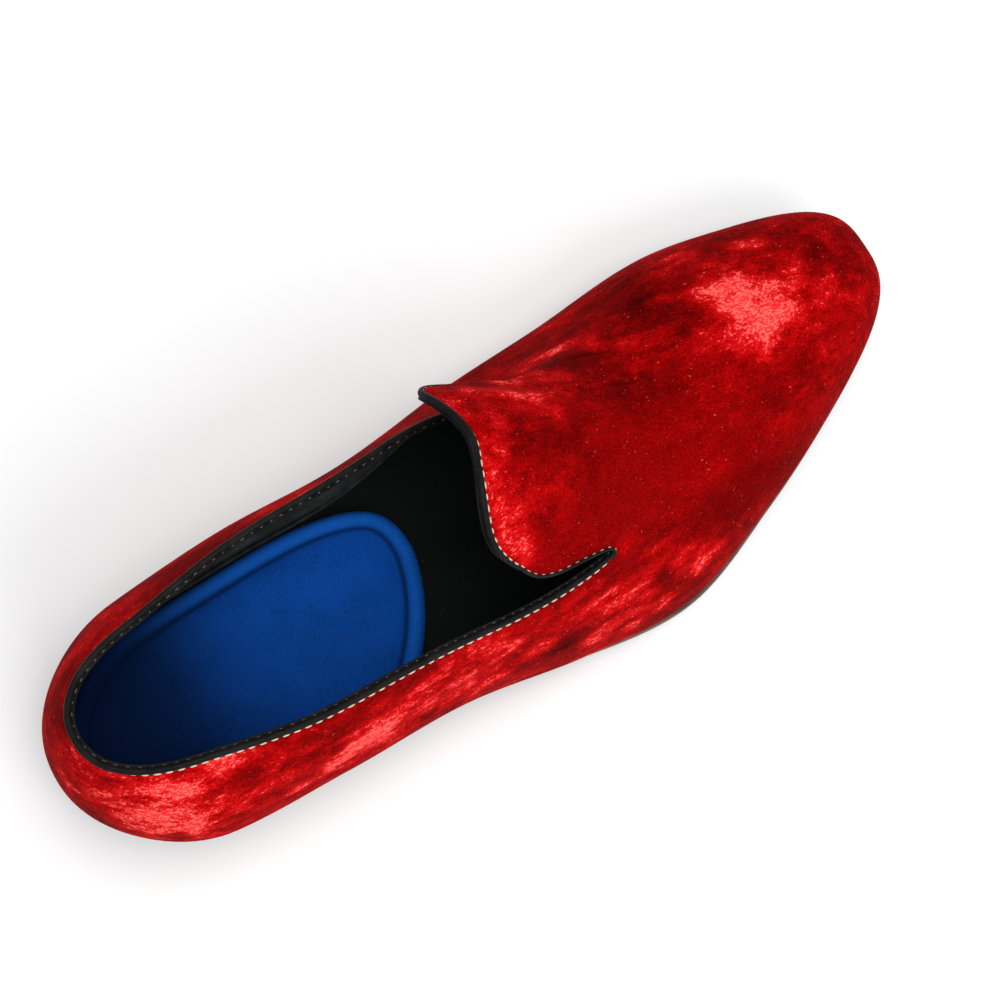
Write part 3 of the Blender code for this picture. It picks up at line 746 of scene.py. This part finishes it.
def cushion_finish():
    """Blue brushed cloth over foam: fine mesh in the middle, fine ribs across the rim, with painted
    highlight on the rim and its ribs' crests, and painted shade mixed in from a stored value.
    """
    f = Finish("cushion cloth", 0.85)
    rim = f.stored("rim")
    ribs = f.math("SINE", f.math("MULTIPLY", f.stored("rim_run"), 2 * math.pi / RIB_PITCH))
    mesh = f.noise(2400, 2, 0.6)
    clouds = f.between(f.noise(60, 3, 0.6), 0.3, 0.7)
    middle = f.mix(clouds, (0.002, 0.045, 0.24), (0.003, 0.065, 0.36))
    middle = f.mix(f.between(mesh, 0.35, 0.75), middle, (0.004, 0.085, 0.45))
    # The ribbed rim, lighter than the middle: its own knit, with painted highlight on the band and
    # on the ribs' crests.
    edge = f.mix(f.between(ribs, -0.8, 1), (0.004, 0.085, 0.42), (0.011, 0.15, 0.68))
    # Painted shade: the cloth darkens towards the heel, in the crease and on the lateral half,
    # following the stored painted light.
    shadow = f.between(f.stored("cushion_painted_light"), 0, 1, 0.95, 0)
    height = f.mix(rim, mesh, f.math("MULTIPLY", ribs, 0.5))
    return f.paint(
        Base_Color=f.mix(shadow, f.mix(rim, middle, edge), (0.0008, 0.0045, 0.022)),
        Normal=f.bump(height, 0.15, 0.8),
        Sheen_Weight=0.12,
        Sheen_Tint=(0.05, 0.30, 1, 1),
        Specular_IOR_Level=0.05,
    )


def sole_finish():
    """Stacked sole edge, dark brown and waxed, with fine scratches running along it."""
    f = Finish("sole edge", 0.5)
    lines = f.noise(1500, 3, 0.6, 0, f.stretched(f.place, (0.08, 0.08, 1)))
    clouds = f.between(f.noise(120, 4, 0.6), 0.3, 0.75)
    shade = f.mix(clouds, (0.045, 0.026, 0.022), (0.12, 0.075, 0.062))
    shade = f.mix(f.between(lines, 0.6, 0.85, 0, 0.5), shade, (0.19, 0.13, 0.11))
    return f.paint(Base_Color=shade, Normal=f.bump(lines, 0.1, 0.5), Specular_IOR_Level=0.35)


def heel_finish():
    """Stacked heel: dark lifts above, a black rubber top piece below."""
    f = Finish("heel lifts", 0.6)
    height = f.node("ShaderNodeSeparateXYZ", {"Vector": f.place}, "Z")
    top_piece, lift = 4.2 * MM, 4.5 * MM
    rubber = f.between(height, top_piece, lift, 1, 0)
    clouds = f.noise(400, 4, 0.6, 0, f.stretched(f.place, (0.2, 0.2, 1)))
    lifts = f.mix(f.between(clouds, 0.3, 0.8), (0.008, 0.007, 0.006), (0.030, 0.022, 0.018))
    shade = f.mix(rubber, lifts, (0.006, 0.006, 0.006))
    return f.paint(Base_Color=shade, Normal=f.bump(clouds, 0.1, 0.4))


def thread_finish(name, low, high):
    f = Finish(name, 0.7)
    return f.paint(Base_Color=f.mix(f.noise(3000), low, high))


velvet = velvet_finish()
binding_leather = leather_finish(
    "binding leather", (0.003, 0.0026, 0.0024), (0.0095, 0.0085, 0.0078), 0.55, 0.10,
)
lining_leather = leather_finish(
    "lining leather", (0.026, 0.031, 0.031), (0.055, 0.066, 0.066), 0.65, 0.2,
)
black_cloth = cloth_finish("black cloth", (0.006, 0.008, 0.0075), (0.03, 0.034, 0.034), 0.1)
cushion_cloth = cushion_finish()
sole_edge = sole_finish()
heel_lifts = heel_finish()
thread = thread_finish("cream thread", (0.34, 0.27, 0.19), (0.78, 0.68, 0.54))
pale_thread = thread_finish("pale thread", (0.035, 0.038, 0.038), (0.15, 0.156, 0.156))


# Upper.

VELVET = 1.2
VELVET_GAP = 0.1
LINING_AWAY = 1.2
LINING_DEPTH = 1.35
LINING = 0.6
VELVET_COUNTS = {"edge": (24, 84, 9, 26, 44), "quarter_rows": 40, "vamp": 44, "toe": 40}
LINING_COUNTS = {"edge": (14, 42, 5, 14, 22), "quarter_rows": 20, "vamp": 22, "toe": 20}
CRUSH_LIMITS = (0.2, 1.8)
HEEL_PILE = (25.0, 55.0)


def perimeter(x, side):
    """Signed distance round the feather line from the middle of the heel."""
    per_mm = 4
    stations = np.linspace(0, LENGTH, int(LENGTH * per_mm) + 1)
    steps = np.hypot(np.diff(stations), np.diff(outline(stations, side)))
    return side * np.interp(x, stations, np.append(0.0, np.cumsum(steps)))


def make_velvet():
    points, faces, places = upper_sheet(BINDING + VELVET_GAP, VELVET_COUNTS)
    normals = vertex_normals(points, faces)
    here = points - MIDDLE
    points = points + normals * spots(here, normals, FOLD_ROWS, crease=True)[:, None]
    obj = new_piece("velvet_upper", points, faces, velvet, "velvet", ["upper"], VELVET)
    crush = np.clip(1.0 + spots(here, normals, CRUSH_ROWS), *CRUSH_LIMITS)
    x, _, side = places.T
    run = np.where(side < 0, perimeter(x, LATERAL), perimeter(x, MEDIAL))
    # The pile's painted sheen and shade, patch by patch, then how crushed it is and how it runs
    # round the heel.
    put_values(obj, "light", "FLOAT", spots(here, normals, PILE_SHEEN_AND_SHADE_ROWS))
    put_values(obj, "crush", "FLOAT", crush)
    put_values(obj, "heel_flow", "FLOAT_VECTOR", np.stack([run, points[:, 2], 0 * x], -1))
    put_values(obj, "at_heel", "FLOAT", 1 - rising(x, HEEL_PILE))


def make_linings():
    for name, parts, material, slot in (
        ("quarter_lining", ("quarter",), lining_leather, "binding"),
        ("vamp_lining", ("tongue", "vamp"), black_cloth, "sock"),
    ):
        points, faces, _ = upper_sheet(LINING_AWAY, LINING_COUNTS, parts)
        points = points - vertex_normals(points, faces) * LINING_DEPTH
        new_piece(name, points, faces, material, slot, ["upper"], LINING)


# Binding: one pair for each point of its section, distance from the edge and depth in the wall.
BINDING_ROWS = (
    (2.25, -0.20), (2.30, 0.20), (1.90, 0.35), (1.20, 0.38), (0.50, 0.28), (0.08, -0.05),
    (0.00, -0.55), (0.12, -1.05), (0.45, -1.35), (0.75, -1.55), (0.45, -1.75), (0.15, -1.95),
    (0.12, -2.12), (0.45, -2.26), (1.20, -2.30), (2.20, -2.26), (2.40, -2.10), (2.00, -1.60),
    (1.60, -1.00),
)
BINDING_COUNTS = (26, 90, 13, 30, 60)


def lip_normal(edge, side):
    """Normal of the upper's outer face just inside the edge, curl included."""
    inside = BINDING + 1.0
    heel_end, ridge_end = 1.5, 0.985
    x = np.maximum(edge["x"] + edge["dx"] * inside, heel_end)
    t = np.clip(edge["t"] + edge["dt"] * inside, 0, ridge_end)
    return -side * unit(np.cross(*slopes(x, t, side, surface, step_x=0.8, step_t=0.01)))


def with_middles(points):
    """A closed row of points with one more between each two, on a smooth curve."""
    p = np.asarray(points, float)
    middle = (9 * (p + np.roll(p, -1, 0)) - np.roll(p, 1, 0) - np.roll(p, -2, 0)) / 16
    return np.stack([p, middle], 1).reshape(-1, 2)


def collar_loop():
    """The collar's edge on either side from the heel to the ridge, with its normals."""
    edges = {side: collar_edge(side, *BINDING_COUNTS) for side in (LATERAL, MEDIAL)}
    normals = {side: lip_normal(edges[side], side) for side in (LATERAL, MEDIAL)}
    for end in (0, -1):
        shared = unit(normals[LATERAL][end] + normals[MEDIAL][end])
        normals[LATERAL][end] = normals[MEDIAL][end] = shared
    return edges, normals


def round_trip(lateral, medial):
    """One closed row from two with the same ends: out on one side and back on the other."""
    return np.concatenate([lateral, medial[-2:0:-1]])


def along_collar(edges, normals, away, depth):
    """Closed line of points beside the collar's edge."""
    halves = []
    for side in (LATERAL, MEDIAL):
        edge = edges[side]
        at = surface(edge["x"] + edge["dx"] * away, edge["t"] + edge["dt"] * away, side)
        halves.append(at + normals[side] * depth)
    return round_trip(*halves)


def make_binding():
    edges, normals = collar_loop()
    rings = [along_collar(edges, normals, *row) for row in with_middles(BINDING_ROWS)]
    points = np.stack(rings, 1)
    here = np.arange(points.shape[0] * points.shape[1]).reshape(points.shape[:2])
    following = np.roll(here, -1, 0)
    faces = np.stack([here, following, np.roll(following, -1, 1), np.roll(here, -1, 1)], -1)
    new_piece(
        "collar_binding", points.reshape(-1, 3), faces.reshape(-1, 4), binding_leather,
        "binding", ["binding"],
    )


# Stitches: those seen from outside, and the bobbin's thread on the inner side of the collar.

STITCH_PITCH = 3.1
STITCH_LENGTH = 2.1
STITCH_THICK = 0.52
STITCH_AWAY = 2.3
STITCH_DEPTH = 0.34
STITCH_SUNK = -0.2
BOBBIN_AWAY = 0.70
BOBBIN_DEPTH = -1.50
BOBBIN_LENGTH = 1.0
BOBBIN_THICK = 0.36

# How far the stitches stand out of the pile: by the share of the way from the heel to the ridge
# on the lateral side, and by the count of points beyond the ridge on the medial side.
STITCH_SHOWS = ((0.0, 1.0), (0.56, 1.0), (0.59, 0.0), (0.72, 0.05), (0.77, 0.8), (1.0, 0.8))
STITCH_BEYOND = ((0, 0.8), (12, 0.5), (20, 0.0))
STITCH_HEEL = (8.0, 20.0)
STITCH_SLIT = (1.5, 5.0)


def stitch_row_tree():
    """Geometry nodes: lays one stitch at each step of a line, along it and flat on the cloth."""
    tree = bpy.data.node_groups.new("stitch row", "GeometryNodeTree")
    for name, kind in (
        ("Line", "Geometry"), ("Pitch", "Float"), ("Length", "Float"), ("Thickness", "Float"),
        ("Unevenness", "Float"), ("Seed", "Int"), ("Thread", "Material"),
    ):
        tree.interface.new_socket(name, in_out="INPUT", socket_type="NodeSocket" + kind)
    tree.interface.new_socket("Stitches", in_out="OUTPUT", socket_type="NodeSocketGeometry")

    def node(kind, inputs, output=0, **properties):
        return add_node(tree, kind, inputs, **properties).outputs[output]

    given = add_node(tree, "NodeGroupInput", {}).outputs
    line = node("GeometryNodeMeshToCurve", {"Mesh": given["Line"]})
    pitch = {"Curve": line, "Length": given["Pitch"]}
    steps = node("GeometryNodeResampleCurve", pitch, mode="LENGTH")
    up = node("GeometryNodeInputNamedAttribute", {"Name": "stitch_up"}, data_type="FLOAT_VECTOR")
    shown = node("GeometryNodeInputNamedAttribute", {"Name": "stitch_shown"}, data_type="FLOAT")
    seen = node("FunctionNodeCompare", {0: shown, 1: 0.5}, operation="GREATER_THAN")
    tangent = node("GeometryNodeInputTangent", {})
    lie = node("FunctionNodeAlignRotationToVector", {"Vector": tangent}, axis="X")
    about = {"Rotation": lie, "Vector": up}
    flat = node("FunctionNodeAlignRotationToVector", about, axis="Z", pivot_axis="X")
    low = node("ShaderNodeMath", {0: 1.0, 1: given["Unevenness"]}, operation="SUBTRACT")
    high = node("ShaderNodeMath", {0: 1.0, 1: given["Unevenness"]}, operation="ADD")
    chance = {2: low, 3: high, "Seed": given["Seed"]}
    uneven = node("FunctionNodeRandomValue", chance, 1, data_type="FLOAT")
    long = node("ShaderNodeMath", {0: given["Length"], 1: uneven}, operation="MULTIPLY")
    thick = given["Thickness"]
    laid = node("GeometryNodeInstanceOnPoints", {
        "Points": steps,
        "Selection": seen,
        "Instance": node("GeometryNodeMeshUVSphere", {"Segments": 8, "Rings": 7, "Radius": 0.5}),
        "Rotation": flat,
        "Scale": node("ShaderNodeCombineXYZ", {"X": long, "Y": thick, "Z": thick}),
    })
    real = node("GeometryNodeRealizeInstances", {"Geometry": laid})
    rounded = node("GeometryNodeSetShadeSmooth", {"Geometry": real})
    finished = {"Geometry": rounded, "Material": given["Thread"]}
    add_node(tree, "NodeGroupOutput", {"Stitches": node("GeometryNodeSetMaterial", finished)})
    return tree


def lay_stitches(name, tree, line, up, shown, **settings):
    """Runs the stitch tree along a closed line and keeps the result as a plain mesh."""
    edges = [(i, (i + 1) % len(line)) for i in range(len(line))]
    obj = add_mesh(name + "_line", to_frame(line), edges, [])
    put_values(obj, "stitch_up", "FLOAT_VECTOR", up)
    put_values(obj, "stitch_shown", "FLOAT", shown)
    modifier = obj.modifiers.new("stitches", "NODES")
    modifier.node_group = tree
    modifier_inputs = {**settings, "Pitch": STITCH_PITCH * MM}
    for socket in tree.interface.items_tree:
        if socket.name in modifier_inputs:
            modifier[socket.identifier] = modifier_inputs[socket.name]
    depsgraph = bpy.context.evaluated_depsgraph_get()
    made = bpy.data.meshes.new_from_object(obj.evaluated_get(depsgraph))
    made.name = name
    line_mesh = obj.data
    bpy.data.objects.remove(obj)
    bpy.data.meshes.remove(line_mesh)
    finish_piece(add_object(name, made), ["binding"])


def make_stitches():
    edges, normals = collar_loop()
    tree = stitch_row_tree()
    up = round_trip(normals[LATERAL], normals[MEDIAL])
    proud = along_collar(edges, normals, STITCH_AWAY, STITCH_DEPTH)
    sunk = along_collar(edges, normals, STITCH_AWAY, STITCH_SUNK)
    x = edges[LATERAL]["x"]
    shows = broken_line(STITCH_SHOWS, np.linspace(0, 1, len(x)))
    shows = shows * rising(x, STITCH_HEEL) * rising(x.max() - x, STITCH_SLIT)
    beyond = broken_line(STITCH_BEYOND, np.arange(len(proud) - len(x)))
    shows = np.append(shows, beyond)
    line = sunk + (proud - sunk) * shows[:, None]
    lay_stitches(
        "collar_stitches", tree, line, up, np.ones(len(line)), Length=STITCH_LENGTH * MM,
        Thickness=STITCH_THICK * MM, Unevenness=0.12, Seed=5, Thread=thread,
    )
    line = along_collar(edges, normals, BOBBIN_AWAY, BOBBIN_DEPTH)
    quarter = np.arange(len(x)) < edges[LATERAL]["slit"]
    lay_stitches(
        "bobbin_stitches", tree, line, -up, round_trip(quarter, quarter),
        Length=BOBBIN_LENGTH * MM, Thickness=BOBBIN_THICK * MM, Unevenness=0.5, Seed=11,
        Thread=pale_thread,
    )


# Bottom.

def moved_out(loop, out):
    tangent = unit(np.roll(loop, -1, 0) - np.roll(loop, 1, 0))
    away = np.stack([tangent[:, 1], -tangent[:, 0]], -1)
    return loop + away * np.asarray(out)[:, None]


def plan_loop(x, out):
    """Closed loop of the feather line in plan, moved outwards, at the given stations."""
    lateral, medial = (np.stack([x, outline(x, side)], -1) for side in (LATERAL, MEDIAL))
    return moved_out(round_trip(lateral, medial), round_trip(out, out))


def slab(rings, top=None):
    """Points and faces of a solid from stacked loops that run to the toe and back. Rows of
    points across the top may be given for a cap that isn't flat."""
    count = len(rings[0])
    half = count // 2
    last_ring = (len(rings) - 1) * count
    faces = []
    for start in range(0, last_ring, count):
        low = start + np.arange(count)
        following = np.roll(low, -1)
        faces += np.stack([low, following, following + count, low + count], -1).tolist()
    for start in (0, last_ring) if top is None else (0,):
        for i in range(half):
            face = [i, i + 1, count - i - 1, (count - i) % count]
            face = [start + v for k, v in enumerate(face) if v not in face[:k]]
            faces.append(face if start else face[::-1])
    points = np.concatenate(rings)
    if top is None:
        return points, faces
    across = top.shape[1]
    lines = [[last_ring]]
    for i in range(1, half):
        first = len(points) + (i - 1) * across
        lines.append([last_ring + i, *range(first, first + across), last_ring + count - i])
    lines.append([last_ring + half])
    faces += [[last_ring, b, a] for a, b in zip(lines[1], lines[1][1:])]
    for low, high in zip(lines[1:-2], lines[2:-1]):
        faces += [[low[j], high[j], high[j + 1], low[j + 1]] for j in range(across + 1)]
    faces += [[a, last_ring + half, b] for a, b in zip(lines[-2], lines[-2][1:])]
    return np.concatenate([points, top.reshape(-1, 3)]), faces


def at_height(loop, height):
    return np.column_stack([loop, height])


def sole_top(x):
    return last("seat", np.clip(x, 0, LENGTH)) - SIT


def sole_bottom(x):
    """Underside of the outsole, flat on the floor under the ball of the foot."""
    return np.maximum(sole_top(x) - SOLE, 0.0)


# One row for each ring of the outsole's edge: how far in from its widest line, and the share of
# its thickness, from the underside up.
SOLE_RINGS = (
    (0.90, 0.00), (0.55, 0.06), (0.30, 0.16), (0.08, 0.34), (0.0, 0.50), (0.05, 0.72),
    (0.18, 0.90), (0.40, 1.00),
)


def make_outsole():
    x = outline_stations(*SOLE_STEPS)
    out = curve(EDGE, x)
    rings = []
    for inward, share in SOLE_RINGS:
        loop = plan_loop(x, out - inward)
        height = sole_bottom(loop[:, 0]) * (1 - share) + sole_top(loop[:, 0]) * share
        rings.append(at_height(loop, height))
    obj = new_piece("leather_outsole", *slab(rings), sole_edge, "outsole", ["outsole"])
    obj.data.set_sharp_from_angle(angle=math.radians(50))


# One row for each ring of the heel: share of its height, and how far in from its side.
HEEL_RINGS = (
    (0.0, 0.6), (0.03, 0.25), (0.08, 0.0), (0.30, 0.0), (0.31, 0.22), (0.34, 0.22), (0.35, 0.0),
    (0.60, 0.0), (0.95, 0.0), (1.0, 0.15),
)


def make_heel():
    """The heel's loops run on past its breast, and are cut off straight there."""
    clear, beyond = 2.0, (0.0, 5.0, 10.0)
    x = outline_stations(*SOLE_STEPS)
    x = np.concatenate([x[x < HEEL_LENGTH - clear], HEEL_LENGTH + np.array(beyond)])
    corner = len(x) - len(beyond)
    out = curve(EDGE, x) - HEEL_INSET
    rings = []
    for share, inward in HEEL_RINGS:
        whole = plan_loop(x, out - HEEL_TAPER * (1 - share) - inward)
        loop = np.delete(whole, [corner + 1, corner + 2, corner + 3], 0)
        loop[corner:corner + 2, 0] = HEEL_LENGTH - HEEL_BREAST_LEAN * (1 - share) - inward
        rings.append(at_height(loop, (sole_bottom(loop[:, 0]) - SIT) * share))
    obj = new_piece("stacked_heel", *slab(rings), heel_lifts, "heel", ["heel"])
    obj.data.set_sharp_from_angle(angle=math.radians(35))


def inner_loop(x, out):
    """Loop inside the feather line, with its stations spread anew between its two ends."""
    count = len(x)
    whole = plan_loop(x, np.full(count, out))
    lateral = whole[:count]
    medial = np.concatenate([whole[:1], whole[:count - 2:-1]])
    low, high = lateral[0, 0], lateral[-1, 0]
    spread = low + (high - low) * x / LENGTH
    sides = [np.interp(spread, half[:, 0], half[:, 1]) for half in (lateral, medial)]
    return round_trip(*(np.stack([spread, y], -1) for y in sides))


# One row for each ring of the sock: how far in from its edge, and the share of its thickness.
SOCK_RINGS = ((0.0, 0.0), (0.0, 0.45), (0.12, 0.72), (0.4, 0.9), (0.8, 0.98), (1.2, 1.0))
SOCK_GAP = 0.06


def make_sock():
    inset = LINING_DEPTH + LINING + SOCK_GAP
    x = outline_stations(*SOLE_STEPS)
    rings = []
    for inward, share in SOCK_RINGS:
        loop = inner_loop(x, -inset - inward)
        rings.append(at_height(loop, last("seat", loop[:, 0]) + INSOLE * share))
    new_piece("cloth_sock", *slab(rings), black_cloth, "sock", ["insole"])


# One row for each ring of the cushion: distance in from its edge and height above the sock.
CUSHION_RINGS = (
    (1.2, 0.0), (0.5, 0.4), (0.1, 1.1), (0.0, 2.0), (0.05, 3.0), (0.3, 4.1), (0.8, 5.1),
    (1.6, 6.0), (2.6, 6.5), (3.6, 6.4), (4.5, 5.9), (5.2, 5.1), (5.6, 4.55), (5.9, 4.35),
    (6.3, 4.55), (7.0, 4.75),
)
RIM_TOP = 8
RIM_WIDTH = 5.95
CUSHION_ACROSS = 28
CUSHION_SINK = 0.7
CUSHION_CROWN = 0.12
CUSHION_STEPS = (20, 90, 20)
NOSE_STEPS = 40
# Painted light and shade on the cushion's cloth: how light it is painted by the distance from the
# heel, and by the ring across rim and crease, with painted shade in the crease and the lateral
# half painted a little darker.
CUSHION_PAINTED_LIGHT = ((8, 0.0), (25, 0.06), (35, 0.18), (55, 0.56), (75, 0.80), (118, 1.0))
CREASE_PAINTED_LIGHT = (
    (0, 0.25), (4, 0.7), (7, 1.0), (10, 0.95), (12, 0.35), (13, 0.25), (15, 0.9), (16, 1.0),
)
LATERAL_PAINTED_LIGHT = 0.86
LATERAL_TO_MEDIAL = (-8.0, 14.0)


def pad_loop(inward):
    """Outline of the heel cushion: it fills the seat and ends in a skewed round front edge.

    The last step but one is left out at the nose, where the inner rings would cross.
    """
    clear = 1.5
    turn = np.append(np.arange(1, NOSE_STEPS - 1), NOSE_STEPS) / NOSE_STEPS * math.pi / 2
    start = PAD_MEDIAL_TURN
    back = outline_stations(*CUSHION_STEPS)
    back = back[back < start - clear]
    x = np.concatenate([back, [start], start + (PAD_FRONT - start) * np.sin(turn)])
    halves = []
    for side, begin, power in (
        (LATERAL, PAD_LATERAL_TURN, PAD_LATERAL_POWER),
        (MEDIAL, PAD_MEDIAL_TURN, PAD_MEDIAL_POWER),
    ):
        share = np.clip((x - begin) / (PAD_FRONT - begin), 0, 1)
        width = (1 - share**power) ** (1 / power)
        wide = outline(x, side) - PAD_NOSE_Y
        halves.append(np.stack([x, PAD_NOSE_Y + wide * width], -1))
    for half in halves:
        half[0] = (0.0, outline(0.0, LATERAL))
    loop = round_trip(*halves)
    return moved_out(loop, np.full(len(loop), -inward))


def cushion_middle(loop):
    """Rows of points across the cushion inside its last ring, sinking softly in the middle."""
    rows = []
    share = np.linspace(0, 1, CUSHION_ACROSS + 1)[1:-1, None]
    for i in range(1, len(loop) // 2):
        row = loop[i] * (1 - share) + loop[len(loop) - i] * share
        away = np.linalg.norm(row[:, None, :2] - loop[None, :, :2], axis=2).min(1)
        row[:, 2] += CUSHION_CROWN * rising(away, (0, 3)) - CUSHION_SINK * rising(away, (2, 16))
        rows.append(row)
    return np.array(rows)


def make_cushion():
    edge = WALL + SIT + PAD_INSET
    rings = []
    for inward, height in CUSHION_RINGS:
        loop = pad_loop(edge + inward)
        rings.append(at_height(loop, last("seat", loop[:, 0]) + INSOLE + SIT + height))
    top = rings[RIM_TOP]
    steps = np.linalg.norm(np.diff(top, axis=0, append=top[:1]), axis=1)
    run = np.append(0.0, np.cumsum(steps)[:-1])
    on_rim = np.array([float(inward < RIM_WIDTH) for inward, _ in CUSHION_RINGS])
    points, faces = slab(rings, top=cushion_middle(rings[-1]))
    obj = new_piece("heel_cushion", points, faces, cushion_cloth, "heel_pad", ["heel_pad"])
    middle = np.zeros(len(points) - len(rings) * len(run))
    put_values(obj, "rim_run", "FLOAT", np.append(np.tile(run, len(rings)), middle))
    put_values(obj, "rim", "FLOAT", np.append(np.repeat(on_rim, len(run)), middle))
    # Painted light and shade of the cushion, stored for its cloth: darker towards the heel, in the
    # crease and on the lateral half.
    nearest, furthest = CUSHION_PAINTED_LIGHT[0][0], CUSHION_PAINTED_LIGHT[-1][0]
    light = curve(CUSHION_PAINTED_LIGHT, np.clip(points[:, 0], nearest, furthest))
    light = light * broken_line(CREASE_PAINTED_LIGHT, np.arange(len(points)) // len(run))
    light = light * (LATERAL_PAINTED_LIGHT + (1 - LATERAL_PAINTED_LIGHT) * rising(points[:, 1], LATERAL_TO_MEDIAL))
    put_values(obj, "cushion_painted_light", "FLOAT", light)


make_velvet()
make_linings()
make_binding()
make_stitches()
make_outsole()
make_heel()
make_sock()
make_cushion()


# Floor, light and camera.

FLOOR_HALF = 6
FLOOR_COLOUR = (0.90, 0.905, 0.905)
WORLD_LIGHT = 0.55
LIGHTS = (
    ("top light", (0.1, -0.05, 1.1), (0.9, 0.7), 7.0),
    ("side light", (0.0, -0.8, 0.75), (0.8, 0.5), 5.0),
)
LIGHT_AIM = (0.0, 0.0, 0.03)

# The camera keeps the photo's angle to the shoe: its place, its right and the point it looks at.
CAMERA_PLACE = (-110.78, -79.95, 492.26)
CAMERA_RIGHT = (0.8715, -0.4904, 0.0)
CAMERA_AIM = (-2.0, 2.0, 30.0)
CAMERA_LENS = 58.0
SENSOR = 36.0
NEAR, FAR = 0.01, 20.0


def make_floor():
    finish = Finish("pale floor", 0.9, FLOOR_COLOUR)
    corners = [(x * FLOOR_HALF, y * FLOOR_HALF, 0) for x, y in ((-1, -1), (1, -1), (1, 1), (-1, 1))]
    floor = add_mesh("floor", corners, [], [(0, 1, 2, 3)])
    floor.data.materials.append(finish.paint(Specular_IOR_Level=0.2))


def make_light():
    world = bpy.data.worlds.new("studio")
    world.use_nodes = True
    background = world.node_tree.nodes["Background"]
    background.inputs["Color"].default_value = (1.0, 1.0, 1.0, 1.0)
    background.inputs["Strength"].default_value = WORLD_LIGHT
    bpy.context.scene.world = world
    for name, place, size, power in LIGHTS:
        light = bpy.data.lights.new(name, "AREA")
        light.shape = "RECTANGLE"
        light.size, light.size_y = size
        light.energy = power
        obj = add_object(name, light)
        obj.location = place
        aim = Vector(LIGHT_AIM) - Vector(place)
        obj.rotation_euler = aim.to_track_quat("-Z", "Y").to_euler()


def make_camera():
    forward = unit(np.array(CAMERA_AIM) - CAMERA_PLACE)
    right = np.array(CAMERA_RIGHT)
    right = unit(right - forward * (right @ forward))
    up = np.cross(right, forward)
    data = bpy.data.cameras.new("camera")
    data.lens = CAMERA_LENS
    data.sensor_width = SENSOR
    data.clip_start, data.clip_end = NEAR, FAR
    camera = add_object("camera", data)
    turn = Matrix([[right[k], up[k], -forward[k]] for k in range(3)]).to_4x4()
    camera.matrix_world = Matrix.Translation(Vector(CAMERA_PLACE) * MM) @ turn
    bpy.context.scene.camera = camera


make_floor()
make_light()
make_camera()
bpy.context.scene.view_settings.view_transform = "Standard"
